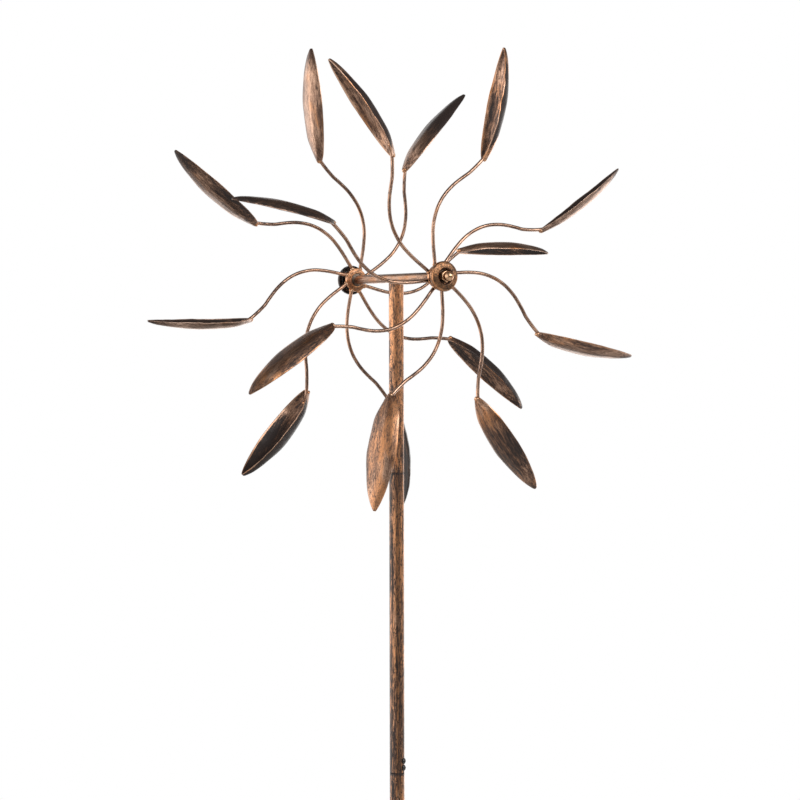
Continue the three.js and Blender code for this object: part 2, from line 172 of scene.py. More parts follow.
# ------------------------------------------------------------------ mesh helpers
def make(name, verts, faces, body, nodes=(), mat=None, attrs=None, sharp=35.0):
    """A piece from points in mm. attrs: name -> (N,) or (N, 3) values per point."""
    mesh = bpy.data.meshes.new(name)
    mesh.from_pydata([tuple(v) for v in np.asarray(verts, float) * MM], [], [tuple(int(i) for i in f) for f in faces])
    for key, values in (attrs or {}).items():
        values = np.asarray(values, np.float32)
        kind = "FLOAT_VECTOR" if values.ndim == 2 else "FLOAT"
        a = mesh.attributes.new(key, kind, "POINT")
        a.data.foreach_set("vector" if values.ndim == 2 else "value", values.ravel())
    mesh.update()
    mesh.validate(clean_customdata=False)
    for p in mesh.polygons:
        p.use_smooth = True
    if sharp:
        mesh.set_sharp_from_angle(angle=math.radians(sharp))
    ob = bpy.data.objects.new(name, mesh)
    bpy.context.scene.collection.objects.link(ob)
    if mat:
        mesh.materials.append(mat)
    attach(ob, body)
    if nodes:
        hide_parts(*nodes)
    return ob


def rounded(outline, radius, steps=4):
    """The closed outline with each corner turned into a small arc. radius: number or one per corner."""
    pts = [np.asarray(p, float) for p in outline]
    n = len(pts)
    radii = [radius] * n if np.isscalar(radius) else radius
    out = []
    for i in range(n):
        a, b, c = pts[i - 1], pts[i], pts[(i + 1) % n]
        r = radii[i]
        u, v = unit(a - b), unit(c - b)
        ang = math.acos(max(-1.0, min(1.0, float(u @ v))))
        if r <= 0 or ang > math.radians(172):
            out.append(b)
            continue
        cut = min(r / math.tan(ang / 2), 0.45 * np.linalg.norm(a - b), 0.45 * np.linalg.norm(c - b))
        p0, p1 = b + u * cut, b + v * cut
        for k in range(steps + 1):
            t = k / steps
            out.append((1 - t) ** 2 * p0 + 2 * t * (1 - t) * b + t * t * p1)
    return [tuple(p) for p in out]


def lathe(outline, segments, axis="Y", centre=(0, 0, 0)):
    """Closed outline of (radius, height) turned about an axis. Points on the axis become poles."""
    verts, rings = [], []
    for r, h in outline:
        if abs(r) < 1e-6:
            rings.append([len(verts)])
            verts.append((0.0, 0.0, h))
        else:
            rings.append(list(range(len(verts), len(verts) + segments)))
            for k in range(segments):
                a = 2 * math.pi * k / segments
                verts.append((r * math.cos(a), r * math.sin(a), h))
    faces = []
    n = len(rings)
    for i in range(n):
        p, q = rings[i], rings[(i + 1) % n]
        if len(p) == 1 and len(q) == 1:
            continue
        for k in range(segments):
            k2 = (k + 1) % segments
            if len(p) == 1:
                faces.append((p[0], q[k2], q[k]))
            elif len(q) == 1:
                faces.append((p[k], p[k2], q[0]))
            else:
                faces.append((p[k], p[k2], q[k2], q[k]))
    v = np.array(verts)
    if axis == "Y":
        v = np.stack([v[:, 0], v[:, 2], -v[:, 1]], -1)
    elif axis == "X":
        v = np.stack([v[:, 2], v[:, 0], v[:, 1]], -1)
    v = v + np.asarray(centre, float)
    return outward(v, faces)


def outward(v, faces):
    vol = 0.0
    for f in faces:
        for i in range(1, len(f) - 1):
            vol += np.dot(v[f[0]], np.cross(v[f[i]], v[f[i + 1]]))
    return v, [tuple(reversed(f)) for f in faces] if vol < 0 else faces


def sweep(path, radius, sides, cap=True, first=None):
    """A round tube along a path with parallel-transported rings. radius: number or one per point.
    Returns points, faces and the grain coordinate (length along, and the place in the section)."""
    path = np.asarray(path, float)
    n = len(path)
    radii = np.full(n, radius) if np.isscalar(radius) else np.asarray(radius, float)
    tan = np.gradient(path, axis=0)
    tan /= np.linalg.norm(tan, axis=1)[:, None]
    nor = np.cross(tan[0], first if first is not None else (0.0, 1.0, 0.0))
    nor = unit(nor if np.linalg.norm(nor) > 1e-3 else np.cross(tan[0], (0, 0, 1.0)))
    verts, grain = [], []
    run = 0.0
    for i in range(n):
        if i:
            nor = nor - tan[i] * np.dot(nor, tan[i])
            nor = unit(nor)
            run += np.linalg.norm(path[i] - path[i - 1])
        bi = np.cross(tan[i], nor)
        for k in range(sides):
            a = 2 * math.pi * k / sides
            d = nor * math.cos(a) + bi * math.sin(a)
            verts.append(path[i] + d * radii[i])
            grain.append((run, radii[i] * math.cos(a), radii[i] * math.sin(a)))
    faces = []
    for i in range(n - 1):
        for k in range(sides):
            k2 = (k + 1) % sides
            faces.append((i * sides + k, i * sides + k2, (i + 1) * sides + k2, (i + 1) * sides + k))
    if cap:
        faces.append(tuple(reversed(range(sides))))
        faces.append(tuple(range((n - 1) * sides, n * sides)))
    v, faces = outward(np.array(verts), faces)
    return v, faces, np.array(grain)


def domed(path, radius, reach, steps=4):
    """Extends a path's two ends with shrinking rings, for a rounded rod end. Returns path and radii."""
    path = np.asarray(path, float)
    a = unit(path[0] - path[1])
    b = unit(path[-1] - path[-2])
    head, tail, rh, rt = [], [], [], []
    for k in range(steps, 0, -1):
        t = k / steps * 0.97
        head.append(path[0] + a * reach * t)
        rh.append(radius * math.sqrt(1 - t * t))
    for k in range(1, steps + 1):
        t = k / steps * 0.97
        tail.append(path[-1] + b * reach * t)
        rt.append(radius * math.sqrt(1 - t * t))
    return np.vstack([head, path, tail]), np.array(rh + [radius] * len(path) + rt)


def join(parts):
    """Several (verts, faces, attrs...) into one, with the same extra arrays."""
    verts, faces, extra, base = [], [], [[] for _ in parts[0][2:]], 0
    for part in parts:
        v, f = part[0], part[1]
        verts.append(np.asarray(v, float))
        faces.extend(tuple(i + base for i in face) for face in f)
        for store, e in zip(extra, part[2:]):
            store.append(np.asarray(e, float))
        base += len(v)
    return (np.vstack(verts), faces, *[np.concatenate(e) for e in extra])


# ------------------------------------------------------------------ materials
class Tree:
    """A thin layer over a material's nodes, so that the recipes below stay readable."""

    def __init__(self, name):
        self.mat = bpy.data.materials.new(name)
        self.mat.use_nodes = True
        self.nt = self.mat.node_tree
        self.nt.nodes.clear()
        self.out = self.nt.nodes.new("ShaderNodeOutputMaterial")
        self.bsdf = self.nt.nodes.new("ShaderNodeBsdfPrincipled")
        self.nt.links.new(self.bsdf.outputs[0], self.out.inputs["Surface"])

    def link(self, a, b):
        self.nt.links.new(a, b)

    def put(self, socket, value):
        if isinstance(value, bpy.types.NodeSocket):
            self.link(value, socket)
        else:
            socket.default_value = value

    def attribute(self, name, vector=True):
        n = self.nt.nodes.new("ShaderNodeAttribute")
        n.attribute_type = "GEOMETRY"
        n.attribute_name = name
        return n.outputs["Vector" if vector else "Fac"]

    def scaled(self, vector, scale, offset=(0, 0, 0)):
        n = self.nt.nodes.new("ShaderNodeMapping")
        n.vector_type = "POINT"
        self.link(vector, n.inputs["Vector"])
        n.inputs["Scale"].default_value = scale
        n.inputs["Location"].default_value = offset
        return n.outputs[0]

    def noise(self, vector, scale=1.0, detail=3.0, rough=0.55, distortion=0.0):
        n = self.nt.nodes.new("ShaderNodeTexNoise")
        n.noise_dimensions = "3D"
        self.link(vector, n.inputs["Vector"])
        n.inputs["Scale"].default_value = scale
        n.inputs["Detail"].default_value = detail
        n.inputs["Roughness"].default_value = rough
        n.inputs["Distortion"].default_value = distortion
        return n.outputs["Fac"]

    def math(self, op, a, b=0.0, c=0.0, clamp=False):
        n = self.nt.nodes.new("ShaderNodeMath")
        n.operation = op
        n.use_clamp = clamp
        self.put(n.inputs[0], a)
        self.put(n.inputs[1], b)
        if op in ("MULTIPLY_ADD", "WRAP", "SMOOTH_MIN", "SMOOTH_MAX"):
            self.put(n.inputs[2], c)
        return n.outputs[0]

    def span(self, value, lo, hi, a=0.0, b=1.0, kind="SMOOTHSTEP"):
        n = self.nt.nodes.new("ShaderNodeMapRange")
        n.interpolation_type = kind
        self.put(n.inputs["Value"], value)
        n.inputs["From Min"].default_value = lo
        n.inputs["From Max"].default_value = hi
        n.inputs["To Min"].default_value = a
        n.inputs["To Max"].default_value = b
        return n.outputs["Result"]

    def mix(self, fac, a, b, kind="MIX"):
        n = self.nt.nodes.new("ShaderNodeMix")
        n.data_type = "RGBA"
        n.blend_type = kind
        self.put(n.inputs[0], fac)
        for s, v in ((n.inputs[6], a), (n.inputs[7], b)):
            if isinstance(v, bpy.types.NodeSocket):
                self.link(v, s)
            else:
                s.default_value = (*v, 1.0) if len(v) == 3 else v
        return n.outputs[2]

    def bump(self, height, strength, distance, normal=None):
        n = self.nt.nodes.new("ShaderNodeBump")
        n.inputs["Strength"].default_value = strength
        n.inputs["Distance"].default_value = distance
        self.link(height, n.inputs["Height"])
        if normal is not None:
            self.link(normal, n.inputs["Normal"])
        return n.outputs[0]


DARK = (0.032, 0.020, 0.017)
BROWN = (0.270, 0.148, 0.094)
COPPER = (0.70, 0.436, 0.300)
ORANGE = (0.74, 0.350, 0.165)


def antique(name, seed, wear_and_shading=0.0, fine=(0.060, 0.52, 0.52), coarse=(0.020, 0.17, 0.17), patch=(0.012, 0.040, 0.040),
            dark=DARK, brown=BROWN, copper=COPPER, orange=ORANGE, rough=(0.40, 0.29), tone=1.0, edge=0.26, coat=0.16,
            zones=(), warm=0.5, crack=0.55, contrast=1.0, inner=0.0,
            lines=(0.10, 0.42, 0.42)):
    """Copper rubbed through black paint in short wavy strokes along the piece. The attribute `grain` is the place on
    the piece in mm. `edge` is 1 where handling has rubbed it bare, negative where grime collects in the seams, and a
    little negative on the inside of the scoops as painted shade. The copper amount, the tone, `inner` (the inside of a
    scoop darker) and some zones are set piece by piece, partly as painted light and shade. zones: (component of grain,
    from, to, change in the copper amount)."""
    t = Tree(name)
    g = t.attribute("grain")
    edge_wear_and_shade = t.attribute("edge", vector=False)
    rng = np.random.default_rng(seed)
    off = [tuple(rng.uniform(-60, 60, 3)) for _ in range(6)]
    n_fine = t.noise(t.scaled(g, fine, off[0]), 1.0, 4.0, 0.62, 0.5)
    n_coarse = t.noise(t.scaled(g, coarse, off[1]), 1.0, 3.0, 0.55, 0.35)
    n_patch = t.noise(t.scaled(g, patch, off[2]), 1.0, 2.0, 0.5, 0.4)
    n_hue = t.noise(t.scaled(g, tuple(1.8 * x for x in patch), off[3]), 1.0, 2.0, 0.5)
    n_speck = t.noise(t.scaled(g, (0.26, 0.8, 0.8), off[4]), 1.0, 3.0, 0.7)
    n_line = t.noise(t.scaled(g, lines, off[5]), 1.0, 3.0, 0.6, 1.1)
    m = t.math("MULTIPLY", n_fine, 0.75 * contrast)
    m = t.math("MULTIPLY_ADD", n_coarse, 0.60 * contrast, m)
    m = t.math("MULTIPLY_ADD", n_patch, 0.40 * contrast, m)
    m = t.math("MULTIPLY_ADD", n_speck, 0.25 * contrast, m)
    m = t.math("SUBTRACT", m, 0.5 * 2.0 * contrast - wear_and_shading)
    # edge lightens rubbed edges, darkens the seams and, as painted shade, the inside of the scoops
    m = t.math("MULTIPLY_ADD", edge_wear_and_shade, edge, m)
    if zones:
        sep = t.nt.nodes.new("ShaderNodeSeparateXYZ")
        t.link(g, sep.inputs[0])
        for comp, lo, hi, amount in zones:
            m = t.math("ADD", m, t.span(sep.outputs[comp], min(lo, hi), max(lo, hi), *((0.0, amount) if lo < hi else (amount, 0.0))))
    # inner darkens the inside of a scoop: painted shade
    if inner:
        m = t.math("MULTIPLY_ADD", t.attribute("inside", vector=False), inner, m)
    # thin wavy dark lines where the paint stays in the drawing marks
    ridge = t.math("ABSOLUTE", t.math("SUBTRACT", n_line, 0.5))
    line = t.math("MULTIPLY", t.span(ridge, 0.0, 0.045, 1.0, 0.0), t.span(n_coarse, 0.40, 0.60, 0.45, 1.0))
    m = t.math("MULTIPLY_ADD", line, -0.36 * crack, m)
    rub = t.span(m, -0.24, 0.05)
    deep = t.span(m, -0.08, 0.25)
    copper_now = t.mix(t.span(n_hue, 0.58 - 0.30 * warm, 0.80 - 0.30 * warm), copper, orange)
    base = t.mix(rub, tuple(tone * c for c in dark), tuple(tone * c for c in brown))
    base = t.mix(deep, base, t.mix(1.0, copper_now, (min(tone, 1.5),) * 3, "MULTIPLY"))
    t.link(base, t.bsdf.inputs["Base Color"])
    t.link(t.span(m, -0.25, 0.02, 0.15, 1.0), t.bsdf.inputs["Metallic"])
    r = t.span(m, -0.25, 0.22, rough[0], rough[1])
    r = t.math("MULTIPLY_ADD", n_speck, 0.10, r)
    t.link(t.math("SUBTRACT", r, 0.05), t.bsdf.inputs["Roughness"])
    b1 = t.bump(n_fine, 0.30, 0.0004)
    b2 = t.bump(n_coarse, 0.20, 0.0010, b1)
    t.link(b2, t.bsdf.inputs["Normal"])
    t.bsdf.inputs["Coat Weight"].default_value = coat
    t.bsdf.inputs["Coat Roughness"].default_value = 0.24
    t.bsdf.inputs["Specular IOR Level"].default_value = 0.32
    return t.mat


def gloss_black(name, seed, colour=(0.012, 0.012, 0.014), rough=0.16, mirror=1.5):
    t = Tree(name)
    g = t.attribute("grain")
    rng = np.random.default_rng(seed)
    n1 = t.noise(t.scaled(g, (0.22, 0.22, 0.22), tuple(rng.uniform(-50, 50, 3))), 1.0, 4.0, 0.6)
    n2 = t.noise(t.scaled(g, (1.4, 1.4, 1.4), tuple(rng.uniform(-50, 50, 3))), 1.0, 2.0, 0.5)
    t.link(t.mix(t.span(n1, 0.45, 0.8), colour, tuple(2.2 * c for c in colour)), t.bsdf.inputs["Base Color"])
    t.link(t.span(n1, 0.2, 0.8, rough, rough + 0.10), t.bsdf.inputs["Roughness"])
    t.link(t.bump(n2, 0.06, 0.0002), t.bsdf.inputs["Normal"])
    t.bsdf.inputs["Metallic"].default_value = 0.0
    t.bsdf.inputs["Specular IOR Level"].default_value = 0.5
    t.bsdf.inputs["Coat Weight"].default_value = 1.0
    t.bsdf.inputs["Coat IOR"].default_value = mirror
    t.bsdf.inputs["Coat Roughness"].default_value = 0.10
    return t.mat


def steel(name, seed, colour=(0.56, 0.56, 0.57), rough=0.3):
    t = Tree(name)
    g = t.attribute("grain")
    rng = np.random.default_rng(seed)
    n1 = t.noise(t.scaled(g, (0.25, 3.0, 3.0), tuple(rng.uniform(-50, 50, 3))), 1.0, 3.0, 0.6)
    n2 = t.noise(t.scaled(g, (0.12, 0.12, 0.12), tuple(rng.uniform(-50, 50, 3))), 1.0, 3.0, 0.6)
    t.link(t.mix(t.span(n2, 0.35, 0.75), colour, tuple(0.55 * c for c in colour)), t.bsdf.inputs["Base Color"])
    t.link(t.span(n1, 0.25, 0.75, rough - 0.08, rough + 0.14), t.bsdf.inputs["Roughness"])
    t.link(t.bump(n1, 0.12, 0.0002), t.bsdf.inputs["Normal"])
    t.bsdf.inputs["Metallic"].default_value = 1.0
    return t.mat


# ------------------------------------------------------------------ the leaves and arms
def leaf_frame(lean, tilt, roll):
    base, tip = np.array(LEAF_BASE), np.array(LEAF_TIP)
    along = tip - base
    length = np.linalg.norm(along)
    along = along / length
    axle = np.array([0.0, 0.0, 1.0])
    inward = unit(np.cross(axle, along))
    across = np.cross(along, inward)
    hinge = inward.copy()
    along, inward, across = (turn(turn(v, hinge, tilt), axle, lean) for v in (along, inward, across))
    inward, across = turn(inward, along, roll), turn(across, along, roll)
    return base, along, inward, across, length


def spoke(points, angle, rear):
    """(u, v, w) of the rotor plane to the row frame, mm."""
    p = np.atleast_2d(np.asarray(points, float))
    x, y, z = p[:, 0], -p[:, 2], p[:, 1]
    a = math.radians(180 - angle if rear else angle)
    q = np.stack([x * math.cos(a) - z * math.sin(a), y - ROTOR_PLANE, x * math.sin(a) + z * math.cos(a)], -1)
    if rear:
        q[:, 0], q[:, 1] = -q[:, 0], -q[:, 1]
    q[:, 2] += AXIS_H
    return q


def in_leaf(frame5, x, y, z):
    base, along, inward, across, _ = frame5
    return base + np.outer(np.ravel(x), along) + np.outer(np.ravel(y), inward) + np.outer(np.ravel(z), across)


def smooth(lo, hi, x):
    t = np.clip((np.asarray(x, float) - lo) / (hi - lo), 0, 1)
    return t * t * (3 - 2 * t)


def leaf_mesh(length, k, seed, ripple=1.0):
    """Pressed scoop in its own frame: x along, y towards the open side, z across. Closed sheet with a rounded rim."""
    rows = np.concatenate([[-0.012, -0.009, -0.004], np.linspace(0.004, 0.94, 44), [0.955, 0.968, 0.980, 0.989, 0.995, 1.0]])
    u = np.linspace(-1, 1, 31)
    tt = np.sign(u) * (1 - (1 - np.abs(u)) ** 1.25)
    h = pchip(LEAF_KEYS, LEAF_H, rows)
    d = pchip(LEAF_KEYS, LEAF_D, rows) * k
    bow = pchip(LEAF_BOW_KEYS, LEAF_BOW, rows)
    # rounded ends
    nose = np.clip((0.022 - rows) / 0.036, 0, 1)
    h = h * (1 - 0.36 * nose ** 2.2)
    tail = np.clip((rows - 0.985) / 0.0165, 0, 1)
    h = h * np.sqrt(1 - 0.62 * tail ** 2)
    d = d * np.sqrt(1 - 0.35 * tail ** 2)
    solid = smooth(0.955, 0.995, rows)          # the tip is pinched flat to a solid tab
    T = LEAF_T
    rim = 6                                      # points of the half-round rim
    verts, grain, edge, inside = [], [], [], []
    ring = 2 * len(tt) + 2 * rim
    rng = np.random.default_rng(seed)
    wave = rng.uniform(0, 6.28, 4)
    for i, s in enumerate(rows):
        x = s * length
        # hand-pressed rims are never quite straight
        lift = 0.35 * math.sin(3.1 * s * 6.28 + wave[0]) * math.sin(math.pi * min(max(s, 0), 1)) \
            + 0.16 * math.sin(7.7 * s * 6.28 + wave[1]) * math.sin(math.pi * min(max(s, 0), 1))
        lift2 = 0.35 * math.sin(2.7 * s * 6.28 + wave[2]) * math.sin(math.pi * min(max(s, 0), 1)) \
            + 0.16 * math.sin(8.3 * s * 6.28 + wave[3]) * math.sin(math.pi * min(max(s, 0), 1))

        def push(y, z, e, ins):
            bend = (lift if z > 0 else lift2) * smooth(0.55, 1.0, abs(z) / h[i])
            verts.append((x, y + 0.5 * ripple * bend, z + bend * 0.9 * ripple * (-1 if z > 0 else 1)))
            grain.append((x, z, y))
            edge.append(e)
            inside.append(ins)
        for t in tt:                             # outer surface
            y = -d[i] * (1 - abs(t) ** LEAF_M) + bow[i]
            e = float(smooth(0.955, 1.0, abs(t)))
            push(y, h[i] * t, e, 0.0)
        for r in range(1, rim + 1):              # rim at +z
            a = math.pi * r / (rim + 1)
            push(bow[i] + 0.5 * T * math.sin(a), h[i] - 0.5 * T + 0.5 * T * math.cos(a), 1.0, 0.5)
        di = (d[i] - T) * (1 - solid[i]) + 0.12 * solid[i]
        for t in tt[::-1]:                       # inner surface
            y = -di * (1 - abs(t) ** LEAF_M) + bow[i]
            e = float(smooth(0.955, 1.0, abs(t)))
            # the inner surface gets a lower edge value: painted shade inside the scoop
            push(y, (h[i] - T) * t, e - 0.15 * (1 - e), 1.0)
        for r in range(1, rim + 1):              # rim at -z
            a = math.pi * r / (rim + 1)
            push(bow[i] + 0.5 * T * math.sin(a), -(h[i] - 0.5 * T + 0.5 * T * -math.cos(a)), 1.0, 0.5)
    verts = np.array(verts)
    # faint unevenness of pressed sheet
    dent = 0.10 * wobble(seed, verts * (1.0, 1.0, 1.0), 46.0)
    verts[:, 1] += dent
    faces = []
    n = len(rows)
    for i in range(n - 1):
        for j in range(ring):
            j2 = (j + 1) % ring
            faces.append((i * ring + j, i * ring + j2, (i + 1) * ring + j2, (i + 1) * ring + j))
    # close the two ends of the sheet with quads between its outer and inner surfaces
    m = len(tt)
    for i in (0, n - 1):
        o = i * ring
        outer = list(range(o, o + m))
        inner = [o + m + rim + (m - 1 - j) for j in range(m)]
        for j in range(m - 1):
            q = (outer[j], outer[j + 1], inner[j + 1], inner[j])
            faces.append(q if i == n - 1 else tuple(reversed(q)))
        cap1 = [outer[m - 1]] + list(range(o + m, o + m + rim)) + [inner[m - 1]]
        cap2 = [inner[0]] + list(range(o + 2 * m + rim, o + ring)) + [outer[0]]
        for c in (cap1, cap2):
            faces.append(tuple(c) if i == n - 1 else tuple(reversed(c)))
    v, faces = outward(verts, faces)
    return v, faces, np.array(grain), np.array(edge), np.array(inside)


def bead(path, radius, seed, sides=10, lump=0.22, ends=True):
    """A weld bead: a lumpy tube with drawn-in ends."""
    path = np.asarray(path, float)
    n = len(path)
    s = np.linspace(0, 1, n)
    rng = np.random.default_rng(seed)
    r = radius * (1 + lump * np.sin(s * n * 0.9 + rng.uniform(0, 6)) * 0.6 + lump * 0.5 * rng.uniform(-1, 1, n))
    if ends:
        r *= np.sqrt(np.clip(1 - (2 * s - 1) ** 6, 0.02, 1))
    v, f, g = sweep(path, r, sides, cap=True)
    return v, f, g


def closed_bead(path, radius, seed, sides=10, lump=0.25):
    """A weld bead around a closed path (first point not repeated)."""
    path = np.asarray(path, float)
    n = len(path)
    rng = np.random.default_rng(seed)
    tan = np.roll(path, -1, 0) - np.roll(path, 1, 0)
    tan /= np.linalg.norm(tan, axis=1)[:, None]
    centre = path.mean(0)
    verts, grain, run = [], [], 0.0
    r = radius * (1 + 0.5 * lump * np.sin(np.arange(n) * 1.35 + rng.uniform(0, 6)) + 0.5 * lump * rng.uniform(-1, 1, n))
    for i in range(n):
        out = path[i] - centre
        out = unit(out - tan[i] * (out @ tan[i]))
        bi = np.cross(tan[i], out)
        for k in range(sides):
            a = 2 * math.pi * k / sides
            d = out * math.cos(a) + bi * math.sin(a)
            verts.append(path[i] + d * r[i])
            grain.append((run, r[i] * math.cos(a), r[i] * math.sin(a)))
        run += np.linalg.norm(path[(i + 1) % n] - path[i])
    faces = []
    for i in range(n):
        i2 = (i + 1) % n
        for k in range(sides):
            k2 = (k + 1) % sides
            faces.append((i * sides + k, i * sides + k2, i2 * sides + k2, i2 * sides + k))
    v, faces = outward(np.array(verts), faces)
    return v, faces, np.array(grain)


def blob(centre, axes, seed, lump=0.12, rings=9, sides=14):
    """A lumpy weld spot: an uneven ellipsoid. axes: three vectors, its half axes."""
    centre, axes = np.asarray(centre, float), np.asarray(axes, float)
    rng = np.random.default_rng(seed)
    ph = rng.uniform(0, 6.28, 6)
    verts, grain = [], []
    for i in range(rings + 1):
        lat = math.pi * i / rings - math.pi / 2
        for k in range(1 if i in (0, rings) else sides):
            lon = 2 * math.pi * k / sides
            p = np.array([math.cos(lat) * math.cos(lon), math.cos(lat) * math.sin(lon), math.sin(lat)])
            f = 1 + lump * (math.sin(3 * p[0] + ph[0]) * math.sin(4 * p[1] + ph[1]) + 0.6 * math.sin(6 * p[2] + ph[2] + 4 * p[0]))
            verts.append(centre + (p * f) @ axes)
            grain.append(tuple(p * 3))
    faces = []
    start = [0] + [1 + sides * i for i in range(rings - 1)] + [1 + sides * (rings - 1)]
    for i in range(rings):
        for k in range(sides):
            k2 = (k + 1) % sides
            if i == 0:
                faces.append((0, start[1] + k2, start[1] + k))
            elif i == rings - 1:
                faces.append((start[i] + k, start[i] + k2, start[rings]))
            else:
                faces.append((start[i] + k, start[i] + k2, start[i + 1] + k2, start[i + 1] + k))
    v, faces = outward(np.array(verts), faces)
    return v, faces, np.array(grain)


# leaf looks, one per arm. Grain on a leaf: 0 along (0 at the rod to 145 at the tip), 1 across, 2 depth.
# The tone, copper amount, inner and zones of each leaf are partly patina and partly painted light and shade:
# some leaves are lightened or darkened all over, insides and near walls are darkened (painted shade), and on some
# leaves a ridge or the base is lightened (painted highlight).
LEAF_ZONES = ((0, 104.0, 142.0, -0.20), (0, 26.0, 4.0, -0.08), (1, 15.0, 24.0, -0.10), (1, -15.0, -24.0, -0.10))
LEAF_COPPER, LEAF_BROWN = (0.705, 0.452, 0.318), (0.265, 0.152, 0.104)
GREY_COPPER, GREY_BROWN = (0.690, 0.465, 0.350), (0.255, 0.157, 0.115)
LEAF_LOOK = {
    "front": [dict(wear_and_shading=0.08, tone=1.05, warm=0.2, contrast=0.9, copper=(0.70, 0.460, 0.335), rough=(0.48, 0.40)),
              dict(wear_and_shading=0.05, tone=1.12, warm=0.0, inner=-0.30, contrast=0.8, copper=GREY_COPPER, brown=GREY_BROWN),
              # front leaves 3 and 4: zone 1 from 11 to 17 darkens the near wall: painted shade
              dict(wear_and_shading=0.20, tone=1.22, warm=0.6, edge=1.15, copper=COPPER, zones=((1, 11.0, 17.0, -0.60), (0, 95.0, 130.0, 0.10))),
              dict(wear_and_shading=0.16, tone=1.25, warm=0.4, edge=0.85, zones=((1, 11.0, 17.0, -0.66),)),
              dict(wear_and_shading=-0.07, tone=0.82, warm=0.0, inner=-0.12, brown=GREY_BROWN, copper=GREY_COPPER),
              dict(wear_and_shading=0.01, warm=0.9, tone=1.05, contrast=1.15, zones=((0, 90.0, 130.0, 0.20),)),
              # front leaf 7: zones lighten one side of the ridge (painted highlight) and darken the other side (painted
              # shade)
              dict(wear_and_shading=0.03, tone=1.02, warm=0.9, contrast=0.9, crack=0.9, fine=(0.085, 0.75, 0.75), rough=(0.50, 0.40),
                   zones=((0, 26.0, 4.0, 0.10), (1, 4.0, 16.0, 0.16), (1, 0.0, -20.0, -0.08), (0, 104.0, 134.0, 0.26))),
              dict(wear_and_shading=-0.07, tone=1.0, warm=0.7, zones=((0, 55.0, 18.0, 0.24), (0, 100.0, 130.0, 0.22)))],
    "rear": [dict(wear_and_shading=0.08, tone=1.2, warm=0.1, zones=((0, 25.0, 90.0, -0.42),), coat=0.45),
             dict(wear_and_shading=0.09, tone=1.08, warm=0.1, contrast=0.65, zones=((1, -2.0, 14.0, -0.12),)),
             dict(wear_and_shading=0.0, tone=1.0, warm=0.2), dict(wear_and_shading=0.09, tone=1.15, warm=0.1, inner=-0.30, contrast=0.8,
                                                     copper=(0.68, 0.475, 0.370), brown=GREY_BROWN),
             # rear leaf 5: near wall darkened (painted shade), base end lightened (painted highlight)
             dict(wear_and_shading=-0.08, tone=0.95, warm=0.4, edge=0.88, rough=(0.46, 0.38), zones=((1, -11.0, -17.0, -0.48), (0, 66.0, 20.0, 0.26))),
             # rear leaf 6: its low tone darkens it all over: painted shade
             dict(wear_and_shading=-0.14, warm=0.2, edge=0.0, tone=0.5, coat=0.1),
             # rear leaf 7: zone 1 from -10 to -17 darkens the near wall: painted shade
             dict(wear_and_shading=-0.02, tone=1.1, warm=0.4, contrast=1.2, zones=((1, -10.0, -17.0, -0.40),)),
             dict(wear_and_shading=0.13, tone=1.2, warm=0.2, inner=-0.20, contrast=1.0)],
}
ROD_MAT = antique("antique_rod", 11, wear_and_shading=0.06, fine=(0.12, 1.1, 1.1), coarse=(0.04, 0.40, 0.40), patch=(0.03, 0.1, 0.1),
                  rough=(0.34, 0.22), warm=0.2, contrast=1.2, crack=0.5, copper=(0.73, 0.452, 0.315), brown=(0.250, 0.150, 0.108))
WELD_MAT = antique("antique_weld", 12, wear_and_shading=0.16, fine=(0.5, 0.9, 0.9), coarse=(0.2, 0.4, 0.4), patch=(0.1, 0.1, 0.1),
                   copper=(0.70, 0.45, 0.29), rough=(0.38, 0.28), contrast=0.8, warm=0.7)


